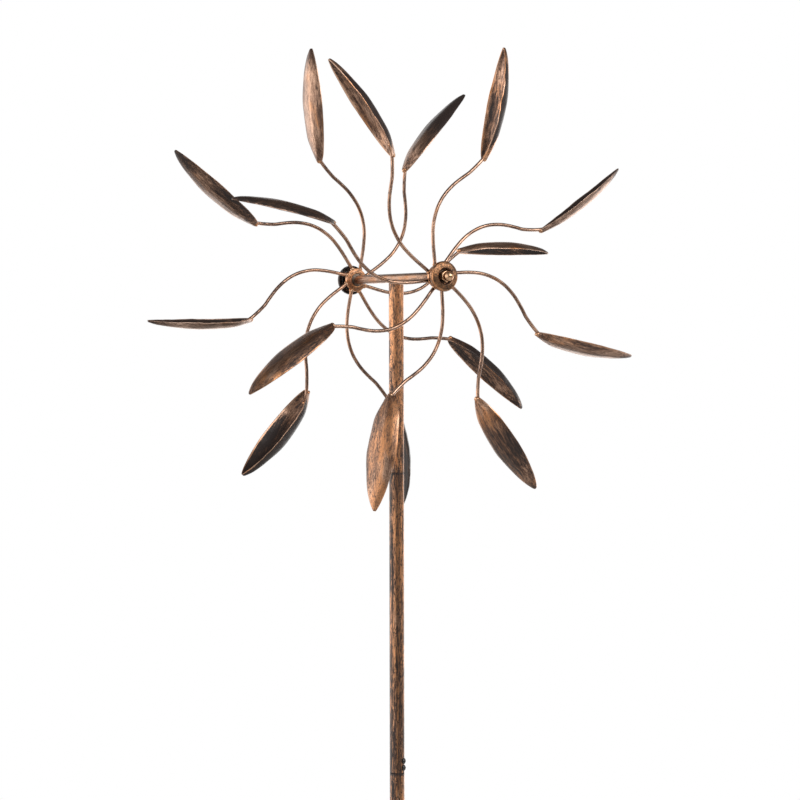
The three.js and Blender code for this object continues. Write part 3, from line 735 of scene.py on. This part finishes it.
def arm_and_leaf(prefix, number, spec, rear):
    angle, lean, tilt, roll, k = spec
    body = f"{prefix}_rotor"
    fr = leaf_frame(lean, tilt, roll)
    length = fr[4]
    seed = (100 if rear else 0) + number * 7
    v, faces, grain, edge, inside = leaf_mesh(length, k, seed, 2.6 if (prefix, number) == ("front", 3) else 1.2)
    w = spoke(in_leaf(fr, v[:, 0], v[:, 1], v[:, 2]), angle, rear)
    w, faces = outward(w, faces)
    look = dict(LEAF_LOOK[prefix][number - 1])
    look["zones"] = LEAF_ZONES + look.get("zones", ())
    look.setdefault("copper", LEAF_COPPER)
    look.setdefault("brown", LEAF_BROWN)
    mat = antique(f"antique_{prefix}_leaf_{number}", 200 + seed, **look)
    make(f"{prefix}_scoop_{number}", w, faces, body, (f"{prefix}_leaf_{number}",), mat,
         {"grain": grain, "edge": edge, "inside": inside}, sharp=None)

    def depth(s):
        return float(pchip(LEAF_KEYS, LEAF_D, s)) * k

    def gutter(s):
        y = float(pchip(LEAF_BOW_KEYS, LEAF_BOW, s)) - depth(s) + LEAF_T + ROD_R + 0.6
        return in_leaf(fr, [s * length], [y], [0.0])[0]
    end, mid = gutter(0.075), gutter(0.02)
    path = catmull(list(ARM_LINE) + [mid, end], 5)
    path, radii = domed(path, ROD_R, 1.2)
    # the round end dips into the hub's weld; it isn't longer than the CAD rod by more than a millimetre
    rv, rf, rg = sweep(path, radii, 16, first=(0, 0, 1.0))
    rw, rf = outward(spoke(rv, angle, rear), rf)
    make(f"{prefix}_rod_{number}", rw, rf, body, (f"{prefix}_arm_{number}",), ROD_MAT,
         {"grain": rg, "edge": np.full(len(rg), 0.12)}, sharp=None)

    # weld of the rod to the hub's flange, and of the rod in the scoop
    p0 = np.array(ARM_LINE[0], float)
    d0 = unit(np.array(ARM_LINE[1], float) - p0)
    side = unit(np.cross(d0, (0, 0, 1.0)))
    root = [blob(p0 - d0 * 0.4, [d0 * 2.3, side * 3.3, np.array([0, 0, 2.9])], seed + 1)]
    leafw = []
    base, along, inward, across, _ = fr
    for sgn in (-1, 1):
        line = []
        for s in np.linspace(-0.006, 0.078, 9):
            y = float(pchip(LEAF_BOW_KEYS, LEAF_BOW, s)) - depth(max(s, 0)) + LEAF_T + 1.6
            line.append(base + along * s * length + inward * y + across * sgn * 2.5)
        leafw.append(bead(line, 1.25, seed + 3 + sgn, lump=0.3))
    leafw.append(blob(gutter(0.0) - inward * 0.3 - along * 0.9, [along * 3.4, across * 3.5, inward * 3.0], seed + 5, lump=0.16))
    leafw.append(blob(gutter(0.083) - inward * 0.9, [along * 2.6, across * 3.0, inward * 1.9], seed + 6))
    return ([(spoke(b[0], angle, rear), b[1], b[2]) for b in root],
            [(spoke(b[0], angle, rear), b[1], b[2]) for b in leafw])


def fix(part):
    v, f = outward(np.asarray(part[0], float), part[1])
    return (v, f, part[2])


for prefix, arms, rear in (("front", FRONT_ARMS, False), ("rear", REAR_ARMS, True)):
    roots, ends = [], []
    for i, spec in enumerate(arms):
        a, b = arm_and_leaf(prefix, i + 1, spec, rear)
        roots += [fix(p) for p in a]
        ends += [fix(p) for p in b]
    for label, parts in (("root_welds", roots), ("scoop_welds", ends)):
        v, f, g = join(parts)
        make(f"{prefix}_{label}", v, f, f"{prefix}_rotor", (), WELD_MAT,
             {"grain": g, "edge": np.full(len(g), 0.25)}, sharp=None)


# ------------------------------------------------------------------ hubs
BARREL = dict(i=102.6, o=119.4, r=10.5, fi=104.4, fo=108.6, fr=15.0, bore=8.3, web=6.2, w0=108.2, w1=113.8)
NUT = dict(base=121.3, af=13.0, hexh=6.0, dome=6.2, tip=138.6)

COVER = dict(rim=117.5, face=124.4, r=19.2, t=1.2, hole=8.7)
COVER_LOOK = dict(fine=(0.42, 0.42, 0.12), coarse=(0.15, 0.15, 0.06), patch=(0.06, 0.06, 0.04), brown=(0.23, 0.125, 0.068),
                  rough=(0.44, 0.32), warm=1.0, contrast=0.75)
COVER_MATS = {"front": antique("antique_cover_front", 31, wear_and_shading=0.02, **COVER_LOOK),
              "rear": antique("antique_cover_rear", 39, wear_and_shading=0.02, zones=((2, 121.5, 119.0, -0.5),), **COVER_LOOK)}
# darker copy of the cover finish for the cone round the nut hole: painted shade in the recess
RECESS_SHADE_MAT = antique("antique_recess_shade", 30, wear_and_shading=-0.10, fine=(0.42, 0.42, 0.12), coarse=(0.15, 0.15, 0.06),
                     patch=(0.06, 0.06, 0.04), rough=(0.5, 0.4), warm=0.8, contrast=0.6, coat=0.15)
HUB_MAT = antique("antique_hub", 32, wear_and_shading=0.05, warm=1.1, fine=(0.5, 0.9, 0.9), coarse=(0.2, 0.3, 0.3), patch=(0.08, 0.08, 0.08))
NUT_MAT = antique("copper_nut", 33, wear_and_shading=0.30, fine=(0.4, 1.0, 1.0), coarse=(0.2, 0.3, 0.3), patch=(0.08, 0.08, 0.08),
                  copper=(0.80, 0.50, 0.30), orange=(0.76, 0.42, 0.22), rough=(0.28, 0.18), contrast=0.6, crack=0.2)
CUP_MAT = gloss_black("gloss_black_cup", 34, rough=0.12, mirror=1.6)
SEAL_MAT = gloss_black("bearing_seal", 35, colour=(0.02, 0.02, 0.02), rough=0.42)
STEEL_MAT = steel("bare_steel", 36, colour=(0.34, 0.27, 0.22), rough=0.34)
# darker copy of the bare steel for the outer bearing ring and outer washer, down in the recess under the nut: painted
# shade
SHADED_STEEL_MAT = steel("steel_painted_shade", 38, colour=(0.20, 0.14, 0.10), rough=0.42)
SCREW_MAT = gloss_black("black_screw_head", 37, colour=(0.008, 0.007, 0.007), rough=0.14)


def turned_piece(name, outline, segments, sign, body, nodes, mat, sharp=40.0, edge_at=()):
    """outline of (radius, distance out along the axle); sign -1 for the front hub, +1 for the rear one."""
    v, f = lathe([(r, sign * y) for r, y in outline], segments, "Y", (0, 0, AXIS_H))
    rel = v - np.array([0, 0, AXIS_H])
    rad_ = np.hypot(rel[:, 0], rel[:, 2])
    grain = np.stack([rel[:, 0], rel[:, 2], rel[:, 1]], -1)
    edge = np.zeros(len(v))
    for r0, y0, reach in edge_at:
        edge = np.maximum(edge, 1 - np.clip(np.hypot(rad_ - r0, np.abs(rel[:, 1]) - y0) / reach, 0, 1))
    attrs = {"grain": grain, "edge": edge}
    return make(name, v, f, body, nodes, mat, attrs, sharp=sharp)


def hub(prefix, sign):
    body = f"{prefix}_rotor"
    b, c, n = BARREL, COVER, NUT
    turned_piece(f"{prefix}_barrel", rounded([
        (b["r"], b["i"]), (b["r"], b["fi"]), (b["fr"], b["fi"]), (b["fr"], b["fo"]), (b["r"], b["fo"]), (b["r"], b["o"]),
        (b["bore"], b["o"]), (b["bore"], b["w1"]), (b["web"], b["w1"]), (b["web"], b["w0"]), (b["bore"], b["w0"]),
        (b["bore"], b["i"])], 0.45, 3), 72, sign, body, (f"{prefix}_hub_barrel",), HUB_MAT,
        edge_at=((b["fr"], b["fi"], 1.2), (b["fr"], b["fo"], 1.2), (b["r"], b["i"], 1.0), (b["bore"], b["i"], 0.8)))
    # cover: shallow dish, its lip rolled in around the open middle
    f = c["face"]
    outer = [(c["r"], c["rim"]), (c["r"], f - 3.4), (c["r"] - 1.1, f - 1.2), (c["r"] - 3.2, f), (11.2, f + 0.5),
             (9.7, f - 0.6), (c["hole"], f - 4.4)]
    inner = [(c["hole"] + 1.2, f - 4.4), (10.7, f - 1.5), (11.8, f - 0.8), (c["r"] - 3.8, f - 1.3), (c["r"] - 2.0, f - 2.2),
             (c["r"] - c["t"], f - 3.8), (c["r"] - c["t"], c["rim"])]
    ring = rounded(outer + inner, [0.5, 1.4, 1.2, 1.2, 0.7, 0.8, 0.4, 0.4, 0.7, 0.7, 1.0, 1.0, 1.2, 0.5], 4)
    ob = turned_piece(f"{prefix}_cover", ring, 96, sign, body, (f"{prefix}_hub_cover",), COVER_MATS[prefix],
                      edge_at=((c["r"] - 0.6, f - 1.6, 1.8),))
    ob.data.materials.append(CUP_MAT)
    ob.data.materials.append(RECESS_SHADE_MAT)
    # the inside of the dish is bare gloss black
    for p in ob.data.polygons:
        x, y, z = (p.center * 1000)[:]
        rr, yy = math.hypot(x, z - AXIS_H), abs(y)
        nx = p.normal
        inward_r = (nx.x * x + nx.z * (z - AXIS_H)) < -0.02 * rr
        facing_pole = nx.y * sign < -0.25
        if (rr > 11.4 and (inward_r or facing_pole)) or (facing_pole and rr > 9.6) or yy < c["rim"] + 0.25:
            p.material_index = 1
        # the cone round the nut hole takes the darker recess material: painted shade
        elif rr < 10.9:
            p.material_index = 2
    # bearings: outer race, seal, inner race
    for label, y0, metal in (("inner_bearing", b["i"] + 0.25, STEEL_MAT), ("outer_bearing", b["w1"] + GAP, SHADED_STEEL_MAT)):
        y1 = y0 + 5.0
        out = rounded([(8.0, y0), (8.0, y1), (6.9, y1), (6.7, y1 - 0.4), (5.5, y1 - 0.4), (5.3, y1), (4.3, y1), (4.3, y0),
                       (5.3, y0), (5.5, y0 + 0.4), (6.7, y0 + 0.4), (6.9, y0)], 0.22, 3)
        ob = turned_piece(f"{prefix}_{label}_ring", out, 64, sign, body, (f"{prefix}_{label}",), metal)
        ob.data.materials.append(SEAL_MAT)
        for p in ob.data.polygons:
            x, y, z = (p.center * 1000)[:]
            if 5.35 < math.hypot(x, z - AXIS_H) < 6.85 and abs(p.normal.y) > 0.6:
                p.material_index = 1
    for label, y0, r, metal in (("inner_washer", TUBE_HALF + GAP, 7.0, STEEL_MAT),
                                ("outer_washer", b["w1"] + GAP + 5.0 + GAP + 0.3, 6.6, SHADED_STEEL_MAT)):
        turned_piece(f"{prefix}_{label}_disc", rounded([(r, y0), (r, y0 + 1.3), (4.35, y0 + 1.3), (4.35, y0)], 0.3, 3), 48, sign,
                     "stand", (f"{prefix}_{label}",), metal)
    cap_nut(prefix, sign)


def cap_nut(prefix, sign):
    """Hexagon with turned corners, a washer face under it and a dome on top, as one closed surface."""
    n = NUT
    seg = 96
    apothem = n["af"] / 2
    corner = apothem / math.cos(math.pi / 6)
    y0, y1 = n["base"], n["base"] + n["hexh"]
    # rings: (distance, radius limit or None for the dome)
    rings = []

    def hexr(a):
        a = (a + math.pi / 6) % (math.pi / 3) - math.pi / 6
        return apothem / math.cos(a)
    prof = [(y0, corner - 1.0), (y0 + 0.45, corner - 0.15), (y0 + 0.8, corner + 1), (y1 - 1.3, corner + 1),
            (y1 - 0.9, corner - 0.2), (y1 - 0.5, corner - 0.65), (y1 - 0.15, corner - 1.2), (y1, corner - 1.8)]
    verts, faces = [], []
    for y, lim in prof:
        rings.append([])
        for k in range(seg):
            a = 2 * math.pi * k / seg
            r = min(hexr(a), lim)
            rings[-1].append(len(verts))
            verts.append((r * math.cos(a), sign * y, r * math.sin(a)))
    dome = [(n["dome"] - 0.35, y1 + 0.02), (n["dome"] - 0.3, y1 + 0.35), (n["dome"] - 0.12, y1 + 1.6),
            (n["dome"] - 0.1, n["tip"] - n["dome"])]
    for a in range(10, 90, 10):
        dome.append(((n["dome"] - 0.1) * math.cos(math.radians(a)), n["tip"] - n["dome"] + n["dome"] * math.sin(math.radians(a))))
    for r0, y in dome:
        rings.append([])
        for k in range(seg):
            a = 2 * math.pi * k / seg
            rings[-1].append(len(verts))
            verts.append((r0 * math.cos(a), sign * y, r0 * math.sin(a)))
    top = len(verts)
    verts.append((0, sign * n["tip"], 0))
    bore = []
    for r0, y in ((4.35, y0), (4.35, y0 + 13.2)):
        bore.append([])
        for k in range(seg):
            a = 2 * math.pi * k / seg
            bore[-1].append(len(verts))
            verts.append((r0 * math.cos(a), sign * y, r0 * math.sin(a)))
    bottom = len(verts)
    verts.append((0, sign * (y0 + 13.2), 0))
    chain = [bore[1], bore[0]] + rings
    for p, q in zip(chain[:-1], chain[1:]):
        for k in range(seg):
            k2 = (k + 1) % seg
            faces.append((p[k], p[k2], q[k2], q[k]))
    for k in range(seg):
        k2 = (k + 1) % seg
        faces.append((rings[-1][k], rings[-1][k2], top))
        faces.append((bore[1][k2], bore[1][k], bottom))
    v = np.array(verts, float) + (0, 0, AXIS_H)
    v, faces = outward(v, faces)
    rel = v - np.array([0, 0, AXIS_H])
    grain = np.stack([rel[:, 1], rel[:, 0], rel[:, 2]], -1)
    rr = np.hypot(rel[:, 0], rel[:, 2])
    edge = np.clip((rr - (apothem + 0.15)) / 0.6, 0, 1) * 0.6
    make(f"{prefix}_nut", v, faces, "stand", (f"{prefix}_cap_nut",), NUT_MAT,
         {"grain": grain, "edge": edge}, sharp=32.0)


hub("front", -1)
hub("rear", 1)

# ------------------------------------------------------------------ cross tube, axle, pole
# zones: the upper part of the tube is a little lighter (painted highlight) and its top edge darker (painted dark
# reflection)
TUBE_MAT = antique("antique_tube", 41, wear_and_shading=-0.05, tone=0.67, warm=0.6, lines=(0.42, 0.10, 0.42), fine=(1.0, 0.10, 1.0), coarse=(0.30, 0.03, 0.30), patch=(0.06, 0.02, 0.06),
                   zones=((2, 717.5, 722.0, 0.05), (2, 722.2, 724.0, -0.30)))
# pole: zone 0 from -5 to -9.4 darkens the -X side of the pole: painted shade
POLE_MAT = antique("antique_pole", 42, wear_and_shading=0.04, fine=(0.55, 0.55, 0.050), coarse=(0.26, 0.26, 0.013), patch=(0.07, 0.07, 0.010),
                   rough=(0.42, 0.32), warm=1.1, crack=1.4, edge=0.6, contrast=1.5, tone=1.10, lines=(0.26, 0.26, 0.05),
                   zones=((0, -5.0, -9.4, -0.20),))
# top section: a lighter, more orange copy of the pole finish, partly patina and partly a painted highlight near the
# cross tube; zone 2 darkens it towards its bottom and zone 0 darkens its -X side: painted shade
POLE_TOP_MAT = antique("antique_pole_top", 44, wear_and_shading=0.16, fine=(0.55, 0.55, 0.10), coarse=(0.26, 0.26, 0.030),
                       patch=(0.06, 0.06, 0.012), rough=(0.46, 0.36), warm=1.6, crack=1.6, edge=0.6, contrast=1.5, tone=1.24,
                       lines=(0.34, 0.34, 0.13), zones=((2, 590.0, 470.0, -0.16), (0, -4.0, -9.2, -0.14)))
FORK_MAT = antique("antique_fork", 43, wear_and_shading=-0.06, fine=(0.3, 0.6, 0.3), coarse=(0.1, 0.2, 0.1), patch=(0.05, 0.05, 0.05),
                   rough=(0.55, 0.42))


def plain_attrs(v, edge=None):
    rel = np.asarray(v, float)
    return {"grain": rel - np.array([0, 0, 700.0]), "edge": np.zeros(len(rel)) if edge is None else edge}


v, f = lathe(rounded([(TUBE_R, -TUBE_HALF), (TUBE_R, TUBE_HALF), (TUBE_RI, TUBE_HALF), (TUBE_RI, -TUBE_HALF)], 0.4, 3), 64, "Y",
             (0, 0, AXIS_H))
make("t_cross_tube", v, f, "stand", ("cross_tube",), TUBE_MAT,
     plain_attrs(v, np.clip((np.abs(v[:, 1]) - TUBE_HALF + 1.2) / 1.2, 0, 1)))
v, f = lathe(rounded([(0, -AXLE_HALF), (AXLE_R - 0.8, -AXLE_HALF), (AXLE_R, -AXLE_HALF + 0.8), (AXLE_R, AXLE_HALF - 0.8),
                      (AXLE_R - 0.8, AXLE_HALF), (0, AXLE_HALF)], [0, 0.2, 0.2, 0.2, 0.2, 0], 3), 48, "Y", (0, 0, AXIS_H))
make("axle", v, f, "stand", ("axle_rod",), STEEL_MAT, plain_attrs(v))


def tube_piece(name, outline, node, seams, segments=72):
    v, f = lathe(rounded(outline, 0.2, 3), segments, "Z")
    rr = np.hypot(v[:, 0], v[:, 1])
    edge = np.zeros(len(v))
    for z in seams:                     # grime in the seams
        edge = np.minimum(edge, np.where((np.abs(v[:, 2] - z) < 0.75) & (rr > SPIGOT_R + 0.1), -0.35, 0.0))
    return make(name, v, f, "stand", (node,), POLE_MAT, plain_attrs(v, edge))


for name, node, bottom, seam in (("pole_2", "pole_upper_section", SEAM_2, SEAM_1),
                                 ("pole_3", "pole_lower_section", SEAM_3, SEAM_2),
                                 ("pole_4", "pole_bottom_section", STEP_T + GAP, SEAM_3)):
    top = seam - GAP
    tube_piece(name, [(POLE_R, bottom), (POLE_R, bottom + 0.8), (POLE_R, bottom + 3.0), (POLE_R, top - 3.4), (POLE_R, top - 0.35),
                      (POLE_R - 0.18, top), (SPIGOT_R, top), (SPIGOT_R, seam + SPIGOT_LEN),
                      (SPIGOT_RI, seam + SPIGOT_LEN), (SPIGOT_RI, top - 4), (POLE_RI, top - 9), (POLE_RI, bottom)], node,
               (bottom, top))


def top_section():
    """Tube whose upper end is notched to sit around the cross tube."""
    seg = 96
    top = AXIS_H - 4.2
    rows = [SEAM_1, SEAM_1 + 0.3, SEAM_1 + 0.7] + list(np.linspace(SEAM_1 + 3, top - 8, 12)) + [None]

    def cut(x):
        r = TUBE_R + GAP
        return min(top, AXIS_H - math.sqrt(r * r - x * x)) if abs(x) < r else top
    verts, faces = [], []
    for radius, inner in ((POLE_R, False), (POLE_RI, True)):
        for j, z in enumerate(rows):
            for k in range(seg):
                a = 2 * math.pi * k / seg
                x, y = radius * math.cos(a), radius * math.sin(a)
                r = radius - (0.18 if j == 0 and not inner else 0)
                zz = z if z is not None else cut(x)
                verts.append((r * math.cos(a), r * math.sin(a), zz))
    nrow = len(rows)
    for s in (0, 1):
        for j in range(nrow - 1):
            for k in range(seg):
                k2 = (k + 1) % seg
                a = s * nrow * seg + j * seg
                faces.append((a + k, a + k2, a + seg + k2, a + seg + k) if s == 0 else (a + k2, a + k, a + seg + k, a + seg + k2))
    for j, flip in ((0, True), (nrow - 1, False)):
        for k in range(seg):
            k2 = (k + 1) % seg
            o, i = j * seg, nrow * seg + j * seg
            q = (o + k, o + k2, i + k2, i + k)
            faces.append(tuple(reversed(q)) if flip else q)
    v, faces = outward(np.array(verts), faces)
    make("pole_1", v, faces, "stand", ("pole_top_section",), POLE_TOP_MAT,
         plain_attrs(v, np.where(v[:, 2] < SEAM_1 + 0.2, -0.35, 0.0)))
    # weld all round the joint
    line = []
    for k in range(84):
        a = 2 * math.pi * k / 84
        x, y = POLE_R * math.cos(a), POLE_R * math.sin(a)
        r = TUBE_R
        if abs(x) < r * 0.80:
            line.append((x * 1.02, y * 1.05, AXIS_H - math.sqrt(r * r - x * x) - 0.1))
        else:
            t = (abs(x) - r * 0.80) / (POLE_R - r * 0.80)
            z0 = AXIS_H - math.sqrt(r * r - (0.8 * r) ** 2)
            line.append((x * (1 - 0.32 * t), y, z0 * (1 - t) + (top + 0.1) * t))
    bv, bf, bg = closed_bead(line, 1.05, 71, lump=0.35)
    make("joint_weld", bv, bf, "stand", (), WELD_MAT, {"grain": bg, "edge": np.full(len(bg), 0.3)}, sharp=None)


top_section()


def screws():
    for i, z in enumerate((SEAM_2 + SCREW_OFFSETS[1], SEAM_2 + SCREW_OFFSETS[0], SEAM_3 + SCREW_OFFSETS[1], SEAM_3 + SCREW_OFFSETS[0])):
        x0 = POLE_R + GAP
        prof = [(0, x0 - 6.5), (1.75, x0 - 6.5), (2.0, x0 - 6.2), (2.0, x0 - 0.05), (3.55, x0 - 0.05), (3.75, x0 + 0.15)]
        for a in range(10, 90, 10):
            prof.append((3.75 * math.cos(math.radians(a)), x0 + 0.15 + 2.05 * math.sin(math.radians(a))))
        # hexagon-ish recess drawn as a shallow round socket
        prof = [p for p in prof if p[0] > 1.45 or p[1] < x0] + [(1.35, x0 + 2.0), (1.2, x0 + 1.1), (0, x0 + 1.0)]
        v, f = lathe(prof, 40, "X", (0, 0, z))
        c, n = math.cos(SCREW_TURN), math.sin(SCREW_TURN)
        v = np.stack([v[:, 0] * c - v[:, 1] * n, v[:, 0] * n + v[:, 1] * c, v[:, 2]], -1)
        node = {0: "pole_screw_1", 1: "pole_screw_2", 2: "pole_screw_3", 3: "pole_screw_4"}[i]
        make(f"screw_{i + 1}", v, f, "stand", (node,), SCREW_MAT,
             {"grain": v - np.array([0, 0, z]), "edge": np.zeros(len(v))}, sharp=38.0)


screws()

# ------------------------------------------------------------------ ground fork
BAR_W, BAR_D = 150.0, 26.0
SPIKE_R, SPIKE_LEN, SPIKE_X = 5.0, 185.0, 58.0


def step_bar():
    """Flat bar with rounded edges and three holes: a bevelled box with the holes cut out."""
    bpy.ops.mesh.primitive_cube_add(size=1.0)
    ob = bpy.context.active_object
    ob.scale = (BAR_W * MM, BAR_D * MM, STEP_T * MM)
    ob.location = (0, 0, STEP_T / 2 * MM)
    bpy.ops.object.transform_apply(location=True, rotation=False, scale=True)
    corner = ob.modifiers.new("corner", "BEVEL")
    corner.width, corner.segments, corner.limit_method, corner.angle_limit = 0.0009, 3, "ANGLE", 0.6
    cutters = []
    for x in (-SPIKE_X, 0.0, SPIKE_X):
        v, f = lathe([(0, -5.0), (SPIKE_R + GAP, -5.0), (SPIKE_R + GAP, 12.0), (0, 12.0)], 48, "Z", (x, 0, 0))
        m = bpy.data.meshes.new("cutter")
        m.from_pydata([tuple(p) for p in v * MM], [], f)
        c = bpy.data.objects.new("cutter", m)
        bpy.context.scene.collection.objects.link(c)
        cutters.append(c)
        b = ob.modifiers.new("hole", "BOOLEAN")
        b.operation, b.object, b.solver = "DIFFERENCE", c, "EXACT"
    dg = bpy.context.evaluated_depsgraph_get()
    mesh = bpy.data.meshes.new_from_object(ob.evaluated_get(dg))
    for c in cutters:
        bpy.data.objects.remove(c)
    bpy.data.objects.remove(ob)
    verts = np.array([tuple(q.co) for q in mesh.vertices]) * 1000
    faces = [tuple(p.vertices) for p in mesh.polygons]
    bpy.data.meshes.remove(mesh)
    e = np.clip((np.abs(verts[:, 1]) - BAR_D / 2 + 1.4) / 1.4, 0, 1) * 0.7
    make("fork_bar", verts, faces, "stand", ("step_bar",), FORK_MAT, {"grain": verts, "edge": e}, sharp=35.0)


step_bar()
for node, x, top in (("centre_spike", 0.0, 55.0), ("left_spike", -SPIKE_X, STEP_T + 1), ("right_spike", SPIKE_X, STEP_T + 1)):
    prof = [(0, -SPIKE_LEN), (0.7, -SPIKE_LEN + 0.3), (SPIKE_R * 0.3, -SPIKE_LEN + 2.4), (SPIKE_R * 0.94, -SPIKE_LEN + 26),
            (SPIKE_R, -SPIKE_LEN + 29)]
    prof += [(SPIKE_R, z) for z in np.linspace(-SPIKE_LEN + 40, top - 0.8, 10)] + [(SPIKE_R - 0.5, top - 0.2), (SPIKE_R - 0.9, top), (0, top)]
    v, f = lathe(prof, 40, "Z", (x, 0, 0))
    e = np.clip((-SPIKE_LEN + 14 - v[:, 2]) / 14, 0, 1) * 0.5
    make(f"fork_{node}", v, f, "stand", (node,), FORK_MAT,
         {"grain": np.stack([v[:, 0], v[:, 2], v[:, 1]], -1), "edge": e}, sharp=30.0)
parts = []
for x, r, z in ((0.0, POLE_R + 0.3, STEP_T + 0.6), (-SPIKE_X, SPIKE_R + 0.5, STEP_T + 0.2), (SPIKE_X, SPIKE_R + 0.5, STEP_T + 0.2),
                (0.0, SPIKE_R + 0.5, -0.2), (-SPIKE_X, SPIKE_R + 0.5, -0.2), (SPIKE_X, SPIKE_R + 0.5, -0.2)):
    line = [(x + r * math.cos(a), r * math.sin(a), z) for a in np.linspace(0, 2 * math.pi, 56, endpoint=False)]
    parts.append(closed_bead(line, 1.25, int(x * 3 + z * 10 + 900), lump=0.35))
v, f, g = join(parts)
make("fork_welds", v, f, "stand", (), FORK_MAT, {"grain": g, "edge": np.full(len(g), 0.1)}, sharp=None)

# ------------------------------------------------------------------ floor, world and lights
fv, ff = lathe([(0, -SPIKE_LEN - 1.0), (3000, -SPIKE_LEN - 1.0), (3000, -SPIKE_LEN - 11.0), (0, -SPIKE_LEN - 11.0)], 96, "Z")
fm = bpy.data.meshes.new("floor")
fm.from_pydata([tuple(p) for p in fv * MM], [], ff)
floor = bpy.data.objects.new("floor", fm)
bpy.context.scene.collection.objects.link(floor)
t = Tree("floor_paint")
tc = t.nt.nodes.new("ShaderNodeTexCoord")
t.link(t.mix(t.noise(tc.outputs["Object"], 3.0), (0.90, 0.90, 0.89), (0.93, 0.93, 0.92)), t.bsdf.inputs["Base Color"])
t.bsdf.inputs["Roughness"].default_value = 0.85
fm.materials.append(t.mat)

world = bpy.data.worlds.new("studio")
bpy.context.scene.world = world
world.use_nodes = True
wt = world.node_tree
wt.nodes.clear()
w_out = wt.nodes.new("ShaderNodeOutputWorld")
w_mix = wt.nodes.new("ShaderNodeMixShader")
w_path = wt.nodes.new("ShaderNodeLightPath")
w_see = wt.nodes.new("ShaderNodeBackground")
w_see.inputs["Color"].default_value = (1, 1, 1, 1)
w_see.inputs["Strength"].default_value = 1.0
w_light = wt.nodes.new("ShaderNodeBackground")
w_co = wt.nodes.new("ShaderNodeTexCoord")
def toward(az, el):
    """A direction from the object: az 0 is towards the main camera, positive to its right; el is above the horizon."""
    a, e = math.radians(az), math.radians(el)
    flat = Vector((back.x, back.y, 0)).normalized()
    side = Vector((right.x, right.y, 0)).normalized()
    return flat * math.cos(a) * math.cos(e) + side * math.sin(a) * math.cos(e) + Vector((0, 0, math.sin(e)))


def lobe(az, el, inner, outer, gain):
    """A soft round patch of studio light in the world, full inside `inner` degrees and gone at `outer`."""
    dot = wt.nodes.new("ShaderNodeVectorMath")
    dot.operation = "DOT_PRODUCT"
    dot.inputs[1].default_value = toward(az, el)
    m = wt.nodes.new("ShaderNodeMapRange")
    m.interpolation_type = "SMOOTHSTEP"
    m.inputs["From Min"].default_value = math.cos(math.radians(outer))
    m.inputs["From Max"].default_value = math.cos(math.radians(inner))
    m.inputs["To Max"].default_value = gain
    wt.links.new(w_co.outputs["Generated"], dot.inputs[0])
    wt.links.new(dot.outputs["Value"], m.inputs["Value"])
    return m.outputs["Result"]


total = None
for spec in ((-116, 2, 8, 39, 1.65), (-75, 20, 8, 40, 0.80), (-80, -28, 10, 45, 0.75), (-165, 0, 8, 38, 0.85),
             (160, -22, 12, 44, 1.80), (168, -72, 14, 50, 1.60), (-90, -60, 8, 40, 0.35), (110, -10, 10, 45, 0.40),
             (-40, 3, 8, 34, 0.80), (30, 52, 8, 38, 0.40), (78, 16, 6, 26, 0.90)):
    part = lobe(*spec)
    add = wt.nodes.new("ShaderNodeMath")
    add.operation = "ADD"
    add.inputs[1].default_value = 0.12
    if total is not None:
        wt.links.new(total, add.inputs[1])
    wt.links.new(part, add.inputs[0])
    total = add.outputs[0]
wt.links.new(total, w_light.inputs["Strength"])
w_light.inputs["Color"].default_value = (1.0, 0.985, 0.97, 1)
wt.links.new(w_path.outputs["Is Camera Ray"], w_mix.inputs[0])
wt.links.new(w_light.outputs[0], w_mix.inputs[1])
wt.links.new(w_see.outputs[0], w_mix.inputs[2])
wt.links.new(w_mix.outputs[0], w_out.inputs["Surface"])


def softbox(name, place, size, power, target=(0, 0, 1.4), colour=(1, 1, 1)):
    data = bpy.data.lights.new(name, "AREA")
    data.shape = "RECTANGLE"
    data.size, data.size_y = size
    data.energy = power
    data.color = colour
    ob = bpy.data.objects.new(name, data)
    ob.location = place
    ob.rotation_euler = (Vector(target) - Vector(place)).to_track_quat("-Z", "Y").to_euler()
    bpy.context.scene.collection.objects.link(ob)
    return ob


softbox("main", Vector((0, 0, 1.4)) + toward(40, 27) * 3.2, (3.3, 1.6), 52)

bpy.context.view_layer.update()
